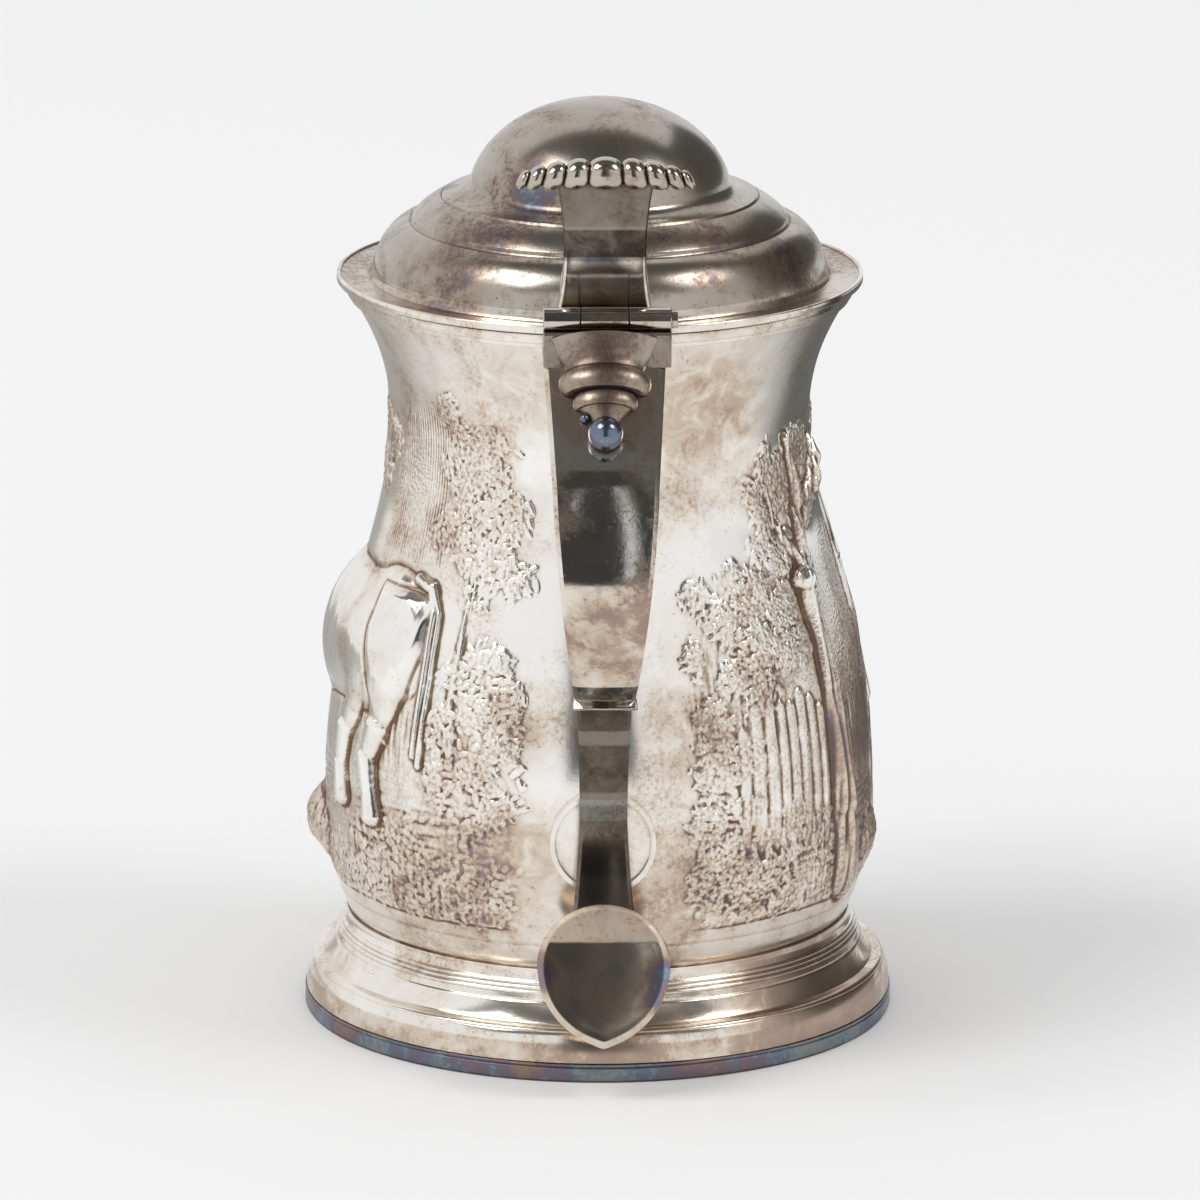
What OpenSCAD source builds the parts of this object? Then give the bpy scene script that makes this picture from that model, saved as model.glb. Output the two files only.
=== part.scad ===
// Baluster quart tankard: raised body on a moulded foot, stepped hinged lid, scroll handle.
// The origin is on the vessel's axis in the plane it stands on. +Z is up, the handle is at -Y.
// Profiles are in the plane of the handle: d is the distance from the axis towards the handle.

/* [Body] */
// Height of the mouth above the table
mouth_z = 160.3; // [150:0.1:170]
// Outer radius of the body at the mouth
mouth_r = 52.9; // [52:0.1:54]
// Outer radius of the narrowest part of the neck
neck_r = 45; // [42:0.1:47]
// Height of the narrowest part of the neck
neck_z = 131; // [126:0.5:136]
// Outer radius of the belly
belly_r = 59.1; // [57:0.1:60]
// Height of the widest part of the belly
belly_z = 49; // [45:0.5:55]
// Outer radius where the body sits on the foot
joint_r = 54; // [52.5:0.1:55]
// Thickness of the raised body wall
body_wall = 0.95; // [0.7:0.05:1.3]
// Height of the lip band
lip_h = 3.3; // [2.4:0.1:4]
// How far the lip band stands out from the body
lip_out = 1.5; // [0.8:0.1:2]
// Rise of the boldest form that is raised from the body wall
relief_rise = 4.8; // [3:0.1:5.5]

/* [Foot] */
// Height of the joint between body and foot
foot_h = 22; // [19:0.5:25]
// Outer radius of the base band
foot_r = 63.7; // [62:0.1:66]
// Height of the base band
band_h = 4; // [3:0.1:5]
// Radial thickness of the base band
band_wall = 2; // [1.6:0.1:3]
// Thickness of the foot's spun wall
foot_wall = 1; // [0.8:0.05:1.4]
// Height of the convex moulding above the base band
torus_h = 7.4; // [6:0.1:8]
// How far the base band stands out beyond the thin fillet above the convex moulding
fillet_in = 3.4; // [2.6:0.1:4]
// Diameter of each of the two fine reeds
reed_d = 0.9; // [0.6:0.05:1.1]
// How far the reeds and the fillet stand out
reed_out = 0.35; // [0.2:0.05:0.5]

/* [Lid] */
// How far the lid's edge stands out beyond the lip band
lid_over = 1.9; // [1.4:0.1:3]
// Width of the lid's flange, from its edge to the first curve
flange_w = 7.5; // [6.9:0.1:8.3]
// Rise of the first curve
ovolo_h = 11.7; // [10:0.1:13]
// Width of the first curve
ovolo_w = 7.8; // [6.3:0.1:9.8]
// Rise of the curve above the first step
tier_h = 4.8; // [4:0.1:6]
// Width of the curve between the first and the second step
tier_w = 7.1; // [6:0.1:9]
// Rise of the hollow curve at the foot of the dome
flare_h = 4.9; // [4:0.1:6]
// Width of the hollow curve at the foot of the dome
flare_w = 6.3; // [5:0.1:9]
// Rise of the dome
dome_h = 15.4; // [12:0.1:18]
// Height of each small step in the lid
lid_step = 0.5; // [0.3:0.05:0.8]
// Thickness of the lid's wall
lid_wall = 0.9; // [0.7:0.05:1.2]
// Thickness of the lid's flange
flange_t = 1.1; // [0.9:0.05:1.3]
// Width of the wire round the lid's edge
wire_w = 0.9; // [0.7:0.05:1.2]
// How far the edge wire stands above the flange
wire_up = 0.6; // [0.3:0.05:0.8]
// Depth of the bezel that drops into the mouth
bezel_h = 3; // [2:0.1:4]
// Thickness of the bezel
bezel_wall = 1; // [0.8:0.05:1.3]

/* [Hinge] */
// Distance of the hinge pin outside the lid's edge
hinge_out = 3.7; // [3.4:0.1:4.5]
// Height of the hinge pin above the mouth
hinge_up = 4.7; // [4.4:0.1:5.2]
// Radius of the knuckles
knuckle_r = 2.5; // [2.2:0.05:2.7]
// Length of the lid's middle knuckle
knuckle_mid = 9.8; // [8:0.1:11]
// Length of the handle's knuckle on the -X side
knuckle_left = 7.7; // [6.5:0.1:9]
// Length of the handle's knuckle on the +X side
knuckle_right = 8.8; // [7:0.1:10]
// Radius of the hinge pin
pin_r = 1.2; // [0.9:0.05:1.4]
// Radius of the pin's head
pin_head_r = 1.9; // [1.7:0.05:2.1]
// Length of the pin's head
pin_head_l = 1.3; // [0.8:0.1:2]

/* [Handle] */
// Width of the handle's face at the top
grip_w_top = 26; // [24:0.2:28]
// Width of the handle's face at the break
grip_w_low = 12.6; // [11:0.2:15]
// Depth of the rounded back of the handle at the top
grip_depth_top = 9; // [7:0.2:10]
// Depth of the rounded back of the handle at the break
grip_depth_low = 5.6; // [5:0.2:7]
// Thickness of the flat strap on the handle's face
strap_t = 1.2; // [0.9:0.05:1.6]
// Thickness of the rounded back
gutter_wall = 1; // [0.8:0.05:1.3]
// Radius of the shoulder curve below the lid
shoulder_r = 16; // [15:0.5:18]
// Length of the straight run that carries the hinge drop
straight_l = 24; // [21:0.5:26]
// Radius of the upper outer curve
upper_r = 36; // [33:0.5:39]
// Radius of the curve that turns in towards the break
lower_r = 36; // [33:0.5:38]
// Radius of the tail's hollow curve
tail_r = 41; // [40:0.5:43]
// Narrowest width of the tail
tail_w = 10; // [9:0.2:11]
// Depth of the rounded back of the tail
tail_depth = 5; // [4.6:0.1:5.6]
// Width of the terminal plate
terminal_w = 28; // [25:0.2:31]
// Length of the terminal plate
terminal_l = 30.5; // [27:0.2:32]
// Depth of the terminal plate's round top
terminal_top_h = 12.7; // [11:0.1:14]
// Half of the angle at the terminal plate's tip
terminal_tip_a = 66.5; // [60:0.5:72]
// Thickness of the terminal plate
terminal_t = 2; // [1.5:0.1:2.5]
// Height of the terminal plate's top edge
terminal_z = 41.5; // [39:0.5:44]
// How far the boss stands off the belly behind the tail
boss_t = 1; // [0.6:0.1:2]
// Height of the boss on the belly
boss_z = 52; // [49:0.5:55]
// Radius of the boss on the belly
boss_r = 11.2; // [9:0.1:12.5]

/* [Thumbpiece] */
// Height of the crest's centre above the mouth
crest_up = 36.6; // [33:0.2:40]
// How far the crest stands outside the hinge pin
crest_out = 4.6; // [3:0.1:6]
// Width of the stem at its foot
stem_w = 21; // [18:0.2:23]
// Width of the stem at its waist
stem_waist = 17.2; // [14:0.2:17.8]
// Thickness of the stem
stem_t = 1.9; // [1.5:0.1:2.2]
// Radius of the crest's middle lobe
lobe_r = 3.4; // [3:0.05:3.8]

/* [Fits] */
// Gap between the lid's flange and the mouth
lid_gap = 0.3; // [0.2:0.05:0.5]
// Gap between the bezel and the inside of the mouth
bezel_gap = 0.6; // [0.5:0.05:0.9]
// Radial clearance of the pin in the lid's knuckle
pin_gap = 0.05; // [0.03:0.01:0.08]
// Gap between neighbouring knuckles
knuckle_gap = 0.2; // [0.15:0.05:0.4]

/* [Hidden] */
$fn = 96;
silver = "#c9c3b8";
dark_silver = "#8f8a82";
eps = 0.01;
far = 300;

// Body heights
lip_z = mouth_z - lip_h;
floor_z = foot_h + body_wall;
profile_steps = 14;
belly_low_pow = 0.48;
belly_high_pow = 1.15;
neck_pow = 2.1;
level_pow = 1.6;
lip_low_out = 0.4 * lip_out;
lip_cove_h = 0.45 * lip_h;
cut_over = 1;

// Main forms raised from the wall: [turn from the handle, height and half height as shares of the body's
// height, rise as a share of the boldest]
relief_forms = [
    [-66, 0.481, 0.104, 0.88], [-92, 0.474, 0.111, 1], [-116, 0.467, 0.096, 0.8],
    [-133, 0.378, 0.067, 0.52], [-141, 0.267, 0.052, 0.46], [-92, 0.148, 0.052, 0.36],
    [80, 0.133, 0.052, 0.34], [122, 0.37, 0.081, 0.68], [142, 0.37, 0.081, 0.72],
    [160, 0.363, 0.074, 0.58], [174, 0.267, 0.052, 0.42]
];

// Foot
foot_slope_pow = 0.85;
reed_place = 0.27;
foot_set = 0.6;
foot_land = 0.2;
torus_set = 0.3;
band_groove = 0.2;
groove_low = 0.8 * band_h;
groove_high = 0.85 * band_h;

// Lid heights, from the flange up
lid_r = mouth_r + lip_out + lid_over;
ovolo_r = lid_r - flange_w;
step_r = ovolo_r - ovolo_w;
flare_r = step_r - tier_w;
dome_r = flare_r - flare_w;
flange_z = mouth_z + lid_gap;
flange_top = flange_z + flange_t;
step_z = flange_top + ovolo_h;
tier_z = step_z + lid_step + tier_h;
dome_z = tier_z + lid_step + flare_h;
curve_steps = 10;
tier_set = 0.3;
dome_start_a = 8;

// Hinge
hinge_d = lid_r + hinge_out;
hinge_z = mouth_z + hinge_up;
mid_half = knuckle_mid / 2;
side_x = mid_half + knuckle_gap;
hinge_left = -side_x - knuckle_left;
hinge_right = side_x + knuckle_right;
apron_t = 2.4;
apron_out = 0.1;
apron_gap = 0.6;
cheek_d = hinge_d - apron_t;
apron_d = hinge_d + knuckle_r + apron_out;
leaf_t = 1.5;
leaf_top = flange_top + leaf_t;
leaf_in = 0.6;
leaf_out = 0.5;
leaf_lap = 1;
leaf_inner_d = ovolo_r + leaf_in;
leaf_outer_d = lid_r + leaf_out;
leaf_neck = [0.6 * knuckle_r, 0.8 * knuckle_r];

// Handle path: angles are measured down from level
down_a = 90;
break_a = 135;
tail_end_a = 40;
shoulder_in = 8.4;
shoulder_down = 0.5;
shoulder = [hinge_d - shoulder_in, mouth_z - shoulder_down];
seat_a = 16;
seat_gap = 0.03;
arc_steps = 10;
edge_bevel = 0.9;
grip_knee = 0.35;
grip_knee_w = 0.29;
grip_pow = 1.35;
tail_set = 0.8;
tail_flare = 1.65;
tail_top_pow = 1.5;
tail_end_pow = 1.4;
tail_room = 0.3;
boss_sink = 0.7;
gutter_inset = 0.3;
break_inset = 1.5;
break_lip = 0.9;
cap_t = 1;
terminal_a = 76;
terminal_back = 2;
terminal_bevel = 1.3;
boss_lip = 1;
boss_lip_w = 1;
boss_slot = tail_w;
terminal_edge = 0.55 * terminal_t;

// Hinge drop, measured along the straight run
drop_top = -5;
drop_cove_end = 1;
drop_ring_end = 7;
drop_step_end = 10;
drop_tip = 14.5;
drop_w = 12;
drop_neck_w = 7.9;
drop_ring_w = 9.6;
drop_step_w = 7.4;
drop_tip_w = 2.4;
drop_flat = 0.57;
drop_edge = 0.8;
ball_s = 16.8;
ball_r = 3.65;
ball_up = 2.3;

// Thumbpiece
crest_d = hinge_d + crest_out;
crest_z = mouth_z + crest_up;
crest_seat = 2.2;
crest_cut = crest_z - crest_seat;
crest_side = 0.5;
stem_in = 1.4;
stem_foot_d = lid_r - stem_in;
stem_low = 0.34;
stem_high = 0.4;
stem_lean = 1.5;
lobe_count = 3;
lobe_taper = 0.9;
lobe_pitch = 1.8;
lobe_steps = 6;
lobe_sides = 20;
lobe_end = 0.94;
lobe_core = 0.25 * lobe_r;
crest_droop = 2.4;
crest_lean = 1.1;

// Blend from 0 to 1 with level ends
function ease(t) = 0.5 - 0.5 * cos(180 * t);

// Straight mix of two values
function mix(a, b, t) = a + (b - a) * t;

// Outer radius of the body at height z
function body_r(z) =
    z < belly_z
        ? mix(joint_r, belly_r, ease(pow(max(0, (z - foot_h) / (belly_z - foot_h)), belly_low_pow)))
    : z < neck_z ? mix(belly_r, neck_r, ease(pow((z - belly_z) / (neck_z - belly_z), belly_high_pow)))
    : z < lip_z ? mix(neck_r, mouth_r, pow((z - neck_z) / (lip_z - neck_z), neck_pow))
    : mouth_r;

// Heights at which the body's profile is drawn
body_levels = concat(
    [for (i = [0 : profile_steps - 1]) mix(foot_h, belly_z, pow(i / profile_steps, level_pow))],
    [for (i = [0 : 2 * profile_steps - 1]) mix(belly_z, neck_z, i / (2 * profile_steps))],
    [for (i = [0 : profile_steps]) mix(neck_z, lip_z, i / profile_steps)]
);
body_outer = [for (z = body_levels) [body_r(z), z]];

body_inner = [for (z = body_levels) if (z > floor_z) [body_r(z) - body_wall, z]];

// Slope of the wall's outward normal above level at height z
function wall_a(z) = atan((body_r(z - eps) - body_r(z + eps)) / (2 * eps));

// Outer radius of the foot at height z, without its reeds and fillet
fillet_z = band_h + torus_h;
fillet_r = foot_r - fillet_in;
function foot_outer(z) =
    z > fillet_z ? mix(fillet_r - foot_set, joint_r, pow((z - fillet_z) / (foot_h - fillet_z), foot_slope_pow))
    : fillet_r + (foot_r - torus_set - fillet_r) * sqrt(1 - pow((z - band_h) / (torus_h + eps), 2));

// The two reeds side by side, drawn as half rounds on the foot's slope
reed_z = mix(foot_h, fillet_z, reed_place);
reed_end = reed_z - 2 * reed_d;
reed_turn = 30;
reed_line = [for (i = [0, 1]) for (a = [0 : reed_turn : 180])
    let(z = reed_z - (i + 0.5 - 0.5 * cos(a)) * reed_d) [foot_outer(z) + reed_out * sin(a), z - eps / 10 * i]];
fillet_edge = fillet_r + reed_out;
fillet_low = fillet_z - reed_d;

foot_line = concat(
    [for (i = [0 : 3]) let(z = mix(foot_h, reed_z + foot_land, i / 3)) [foot_outer(z), z]],
    reed_line,
    [for (i = [0 : 6]) let(z = mix(reed_end - foot_land, fillet_z + foot_land, i / 6)) [foot_outer(z), z]],
    [[fillet_r + foot_land, fillet_z], [fillet_edge, fillet_z - reed_d / 2], [fillet_edge, fillet_low]],
    [for (i = [1 : profile_steps])
        let(z = mix(fillet_low, band_h, ease(i / profile_steps))) [foot_outer(z), z]]
);
foot_inner = [for (i = [0 : profile_steps])
    let(z = mix(band_h, foot_h, i / profile_steps)) [foot_outer(z) - foot_wall, z]];

// Quarter of an ellipse about centre c, from angle a to angle b
function quarter(c, rx, rz, a, b) =
    [for (i = [0 : curve_steps]) let(t = mix(a, b, i / curve_steps)) c + [rx * cos(t), rz * sin(t)]];

// Outside of the lid from the flange up to the crown
lid_line = concat(
    quarter([step_r, flange_top], ovolo_r - step_r, ovolo_h, 0, 90),
    quarter([flare_r, step_z + lid_step], step_r - flare_r - tier_set, tier_h, 0, 90),
    quarter([flare_r, dome_z], dome_r - flare_r, -flare_h, 90, 0),
    quarter([0, dome_z], dome_r, dome_h, dome_start_a, 90)
);

// Stations [d, z, angle] along an arc of the handle that starts at p; a negative radius turns back
function arc(p, a, b, r) =
    [for (i = [0 : arc_steps]) let(t = mix(a, b, i / arc_steps))
        [p[0] + r * (sin(t) - sin(a)), p[1] + r * (cos(t) - cos(a)), t]];

function last(list) = list[len(list) - 1];

// Direction along the handle, and the outward normal of its face, at a path angle
function along(a) = [cos(a), -sin(a)];
function outward(a) = [sin(a), cos(a)];

// Where the tail's face comes nearest to the axis, and the reach that this leaves to the upper run
tail_near = body_r(boss_z) + boss_t + tail_depth + strap_t - boss_sink;
run_reach = tail_near - shoulder[0] - upper_r + (lower_r + tail_r) * (1 - sin(break_a))
    - cap_t * cos(break_a) + break_inset * sin(break_a);

// Slope of the upper run that gives that reach between its two curves
run_drop = shoulder_r - upper_r;
straight_a = atan2(run_drop, straight_l) + acos(run_reach / norm([straight_l, run_drop]));

seat_point = shoulder + shoulder_r * [sin(seat_a), cos(seat_a) - 1];
shoulder_arc = arc(seat_point, seat_a, straight_a, shoulder_r);
straight_start = [last(shoulder_arc)[0], last(shoulder_arc)[1]];
straight_end = straight_start + straight_l * along(straight_a);
upper_arc = arc(straight_end, straight_a, down_a, upper_r);
lower_arc = arc(last(upper_arc), down_a, break_a, lower_r);
grip_path = concat(shoulder_arc, upper_arc, [for (i = [1 : arc_steps]) lower_arc[i]]);
break_point = last(grip_path);
tail_start = [break_point[0], break_point[1]] + cap_t * along(break_a) - break_inset * outward(break_a);
tail_path = concat(arc(tail_start, break_a, down_a, -tail_r),
    [for (i = [1 : arc_steps]) arc([tail_start[0] - tail_r * (1 - sin(break_a)),
        tail_start[1] + tail_r * cos(break_a), 0], down_a, tail_end_a, -tail_r)[i]]);

// How far along the grip a station is, from 0 at the shoulder to 1 at the break, by height
function grip_t(s) = (shoulder[1] - s[1]) / (shoulder[1] - break_point[1]);
function grip_w(t) = mix(grip_w_top, grip_w_low, t < grip_knee
    ? grip_knee_w * t / grip_knee
    : mix(grip_knee_w, 1, pow((t - grip_knee) / (1 - grip_knee), grip_pow)));
function grip_depth(t) = mix(grip_depth_top, grip_depth_low, t);

// Width of the tail at a path angle: narrow in the middle, wider at both ends
function tail_width(a) = a > down_a
    ? mix(tail_w, grip_w_low - tail_set, pow((a - down_a) / (break_a - down_a), tail_top_pow))
    : mix(tail_w, tail_w * tail_flare, pow((down_a - a) / (down_a - tail_end_a), tail_end_pow));

// Depth of the tail: shallow at the break so that it starts inside the grip's end
function tail_back(a) = a > down_a
    ? mix(tail_depth, grip_depth_low - break_inset - tail_room, (a - down_a) / (break_a - down_a))
    : tail_depth;

// Point of the tail's face at height z
function tail_point(z) = let(a = acos(cos(break_a) + (tail_start[1] - z) / tail_r))
    [tail_start[0] - tail_r * (sin(a) - sin(break_a)), z];

// Flat seat on the boss that the tail's back is cut to
boss_face = tail_point(boss_z)[0] - strap_t - tail_depth + boss_sink;

// Origin of the terminal plate's face: the middle of its top edge
terminal_top = tail_point(terminal_z) + [terminal_back, 0];

// Radius at which the handle's end meets the vessel at height z: the lip band, then down to the body
function seat_r(z) = mix(body_r(z), mouth_r + lip_out, min(1, max(0, (z - lip_z) / lip_h + 1)));

// Sections are rings of two chains of points [x across, distance off the face]: front, then back reversed
face_steps = 12;
function reversed(list) = [for (i = [len(list) - 1 : -1 : 0]) list[i]];

// Section of a flat strap with bevelled edges, width w
function strap_section(w) =
    let(xs = [for (i = [0 : face_steps]) mix(-w / 2, w / 2, i / face_steps)]) concat(
        [for (x = xs) [x, abs(x) > w / 2 - eps ? -edge_bevel : 0]],
        reversed([for (x = xs) [x, -strap_t]])
    );

// Section of a rounded channel behind the strap, width w and depth h
function gutter_section(w, h) =
    let(angles = [for (i = [0 : face_steps]) 180 * (1 - i / face_steps)]) concat(
        [for (a = angles) [(w / 2 - gutter_wall) * cos(a), -strap_t - (h - gutter_wall) * sin(a)]],
        reversed([for (a = angles) [w / 2 * cos(a), -strap_t - h * sin(a)]])
    );

// Section of a solid half oval on a flat face, half width w and height h
function half_oval(w, h) =
    [for (i = [0 : face_steps]) let(a = 180 * (1 - i / face_steps)) [w * cos(a), h * sin(a)]];

// Point of a section at a station of the handle's path
function placed(s, q) = [q[0], -s[0] - q[1] * sin(s[2]), s[1] + q[1] * cos(s[2])];

// The same point moved level onto the vessel's outside
function seated(p) = [p[0], -sqrt(pow(seat_r(p[2]) + seat_gap, 2) - p[0] * p[0]), p[2]];

// Rings of a section along a path; sections[i] belongs to path[i]
function rings(path, sections) = [for (i = [0 : len(path) - 1]) [for (q = sections[i]) placed(path[i], q)]];

// Rings with one more in front that sits on the vessel
function seated_rings(list) = concat([[for (p = list[0]) seated(p)]], list);

// Closed solid through the rings; strips close the ends of rings made of two chains
module skin(list, strips) {
    n = len(list[0]);
    m = len(list);
    points = [for (r = list) each r];
    sides = [for (i = [0 : m - 2]) for (j = [0 : n - 1])
        [i * n + j, i * n + (j + 1) % n, (i + 1) * n + (j + 1) % n, (i + 1) * n + j]];
    pairs = [for (j = [0 : n / 2 - 2]) [j, j + 1, n - 2 - j, n - 1 - j]];
    start = strips ? [for (f = pairs) reversed(f)] : [[for (j = [n - 1 : -1 : 0]) j]];
    top = (m - 1) * n;
    end = strips ? [for (f = pairs) [for (j = f) top + j]] : [[for (j = [0 : n - 1]) top + j]];
    polyhedron(points, concat(start, sides, end), convexity = 8);
}

// Side view in the handle's plane drawn out along X, from x0 to x1
module side_plate(x0, x1) {
    translate([x0, 0, 0])
        rotate([90, 0, 90])
            linear_extrude(x1 - x0)
                mirror([1, 0])
                    children();
}

// Round bar along X at the hinge
module hinge_bar(r, x0, x1) {
    translate([x0, -hinge_d, hinge_z])
        rotate([0, 90, 0])
            cylinder(r = r, h = x1 - x0);
}

// Ring about the vessel's axis
module ring(inner, outer, z0, z1) {
    rotate_extrude()
        translate([inner, z0])
            square([outer - inner, z1 - z0]);
}

// Everything inside the body's outer surface and the lip band
module vessel_solid() {
    rotate_extrude($fn = 360)
        polygon(concat([[0, foot_h]], body_outer, [
            [mouth_r + lip_low_out, lip_z], [mouth_r + lip_out, lip_z + lip_cove_h],
            [mouth_r + lip_out, mouth_z], [0, mouth_z]
        ]));
}

// Moves a shape drawn on a face of the handle: x across, y along the handle, z off the face
module on_face(p, a) {
    translate([0, -p[0], p[1]])
        rotate([a, 0, 0])
            rotate([0, 0, 180])
                children();
}

// Round forms that stand out of the wall, less an inset
module relief(inset) {
    for (form = relief_forms) {
        z = mix(foot_h, lip_z, form[1]);
        half = form[2] * (lip_z - foot_h);
        rise = form[3] * relief_rise;
        r = (half * half + rise * rise) / (2 * rise);
        sunk = r - rise;
        rotate([0, 0, form[0]])
            translate([0, sunk * cos(wall_a(z)) - body_r(z), z - sunk * sin(wall_a(z))])
                sphere(r - inset);
    }
}

module body_shell() {
    color(silver)
        difference() {
            union() {
                rotate_extrude()
                    polygon(concat([[0, foot_h]], body_outer, [[mouth_r, mouth_z], [0, mouth_z]]));
                relief(0);
            }
            rotate_extrude()
                polygon(concat(
                    [[0, floor_z], [joint_r - 2 * body_wall, floor_z]],
                    body_inner,
                    [[mouth_r - body_wall, mouth_z + cut_over], [0, mouth_z + cut_over]]
                ));
            relief(body_wall);
        }
}

module lip_band() {
    color(silver)
        rotate_extrude()
            polygon([
                [mouth_r, lip_z], [mouth_r + lip_low_out, lip_z],
                [mouth_r + lip_out, lip_z + lip_cove_h], [mouth_r + lip_out, mouth_z],
                [mouth_r, mouth_z]
            ]);
}

module foot_ring() {
    color(silver)
        rotate_extrude()
            polygon(concat(foot_line, foot_inner));
}

module foot_band() {
    color(dark_silver)
        rotate_extrude()
            polygon([
                [foot_r - band_wall, 0], [foot_r, 0], [foot_r - band_groove, groove_low],
                [foot_r, groove_high], [foot_r, band_h], [foot_r - band_wall, band_h]
            ]);
}

module lower_boss() {
    color(silver)
        difference() {
            translate([0, 0, boss_z])
                rotate([90, 0, 0])
                    union() {
                        cylinder(r = boss_r, h = boss_face);
                        difference() {
                            cylinder(r = boss_r, h = boss_face + boss_lip);
                            cylinder(r = boss_r - boss_lip_w, h = far);
                            translate([-boss_slot / 2, -far / 2, boss_face])
                                cube([boss_slot, far, far]);
                        }
                    }
            vessel_solid();
        }
}

module handle_strap() {
    color(dark_silver)
        skin(seated_rings(rings(grip_path, [for (s = grip_path) strap_section(grip_w(grip_t(s)))])), true);
}

module handle_gutter() {
    color(silver)
        skin(seated_rings(rings(grip_path, [for (s = grip_path)
            gutter_section(grip_w(grip_t(s)) - 2 * gutter_inset, grip_depth(grip_t(s)))])), true);
}

// Plate that closes the grip at the break, with a lip that stands above the face
module break_cap() {
    w = grip_w_low / 2 + break_lip / 2;
    h = grip_depth_low + strap_t;
    color(dark_silver)
        on_face(break_point, break_a)
            rotate([-90, 0, 0])
                linear_extrude(cap_t)
                    polygon(concat([[w, -break_lip], [-w, -break_lip]], half_oval(w, h)));
}

// Everything in front of the terminal plate's back
module terminal_front() {
    on_face(terminal_top, terminal_a)
        translate([-far / 2, -terminal_w / 4, -terminal_t])
            cube([far, far, far]);
}

module tail_strap() {
    color(dark_silver)
        difference() {
            skin(rings(tail_path, [for (s = tail_path) strap_section(tail_width(s[2]))]), true);
            terminal_front();
        }
}

module tail_gutter() {
    color(silver)
        difference() {
            skin(rings(tail_path, [for (s = tail_path)
                gutter_section(tail_width(s[2]) - 2 * gutter_inset, tail_back(s[2]))]), true);
            terminal_front();
            translate([-far / 2, -boss_face, boss_z - boss_r])
                cube([far, far, 2 * boss_r]);
        }
}

// Right half of the terminal's outline: a round top, then a curve and a short straight to a blunt point
terminal_half_w = terminal_w / 2;
terminal_low = terminal_l - terminal_top_h;
terminal_arc_r = (terminal_low - terminal_half_w / tan(terminal_tip_a))
    / (sin(terminal_tip_a) - (1 - cos(terminal_tip_a)) / tan(terminal_tip_a));
terminal_half = concat(
    quarter([0, terminal_top_h], terminal_half_w, -terminal_top_h, 90, 0),
    [for (i = [1 : curve_steps]) let(a = terminal_tip_a * i / curve_steps)
        [terminal_half_w - terminal_arc_r * (1 - cos(a)), terminal_top_h + terminal_arc_r * sin(a)]],
    [[0, terminal_l]]
);

// Layer of the terminal plate, drawn in from its edge by an inset
module terminal_layer(inset, t) {
    translate([0, terminal_l / 2, -terminal_t])
        linear_extrude(t)
            scale([1 - inset / terminal_half_w, 1 - 2 * inset / terminal_l])
                translate([0, -terminal_l / 2])
                    polygon(concat(terminal_half,
                        [for (p = reversed(terminal_half)) if (p[0] > eps) [-p[0], p[1]]]));
}

module terminal_plate() {
    color(dark_silver)
        on_face(terminal_top, terminal_a)
            hull() {
                terminal_layer(0, terminal_edge);
                terminal_layer(terminal_bevel, terminal_t);
            }
}

// Side view of the space on and under the handle's face
module under_face() {
    polygon(concat([[0, shoulder[1]]], [for (s = grip_path) [s[0], s[1]]], [[break_point[0], 0], [0, 0]]));
}

module handle_hinge_leaf() {
    color(dark_silver)
        difference() {
            union() {
                for (x = [[hinge_left, -side_x], [side_x, hinge_right]]) {
                    hinge_bar(knuckle_r, x[0], x[1]);
                    side_plate(x[0], x[1])
                        difference() {
                            translate([cheek_d, shoulder[1] - shoulder_r])
                                square([apron_d - cheek_d, hinge_z - shoulder[1] + shoulder_r]);
                            under_face();
                        }
                }
                side_plate(-side_x, side_x)
                    difference() {
                        translate([apron_d - apron_t, shoulder[1] - shoulder_r])
                            square([apron_t, hinge_z - knuckle_r - apron_gap - shoulder[1] + shoulder_r]);
                        under_face();
                    }
            }
            hinge_bar(pin_r, -far / 2, far / 2);
        }
}

// Half width of the hinge drop at a distance along the straight run
function drop_half(s) =
    s < drop_cove_end ? mix(drop_w, drop_neck_w, sin(90 * (s - drop_top) / (drop_cove_end - drop_top)))
    : s < drop_ring_end ? mix(drop_neck_w, drop_ring_w,
        sin(180 * (s - drop_cove_end) / (drop_ring_end - drop_cove_end)))
    : s < drop_step_end ? drop_step_w
    : mix(drop_step_w - drop_edge, drop_tip_w, sin(90 * (s - drop_step_end) / (drop_tip - drop_step_end)));

module hinge_drop() {
    levels = concat(
        [drop_top, drop_top + drop_edge],
        [for (i = [1 : curve_steps]) mix(drop_top + drop_edge, drop_cove_end - eps, i / curve_steps)],
        [for (i = [0 : curve_steps]) mix(drop_cove_end, drop_ring_end - eps, i / curve_steps)],
        [drop_ring_end, drop_step_end - eps],
        [for (i = [0 : curve_steps]) mix(drop_step_end, drop_tip, i / curve_steps)]
    );
    stations = [for (s = levels) let(p = straight_start + s * along(straight_a)) [p[0], p[1], straight_a]];
    color(dark_silver)
        difference() {
            skin(rings(stations, [for (s = levels) let(w = drop_half(s)) half_oval(w, w * drop_flat)]), false);
            translate([-far / 2, -apron_d, 0])
                cube([far, far, far]);
        }
}

module drop_ball() {
    color(dark_silver)
        on_face(straight_start, straight_a)
            intersection() {
                translate([0, ball_s, ball_up])
                    sphere(r = ball_r);
                translate([-far / 2, drop_tip, 0])
                    cube([far, far, far]);
            }
}

module hinge_pin() {
    color(silver) {
        hinge_bar(pin_r, hinge_left, hinge_right);
        hinge_bar(pin_head_r, hinge_right, hinge_right + pin_head_l);
    }
}

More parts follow.
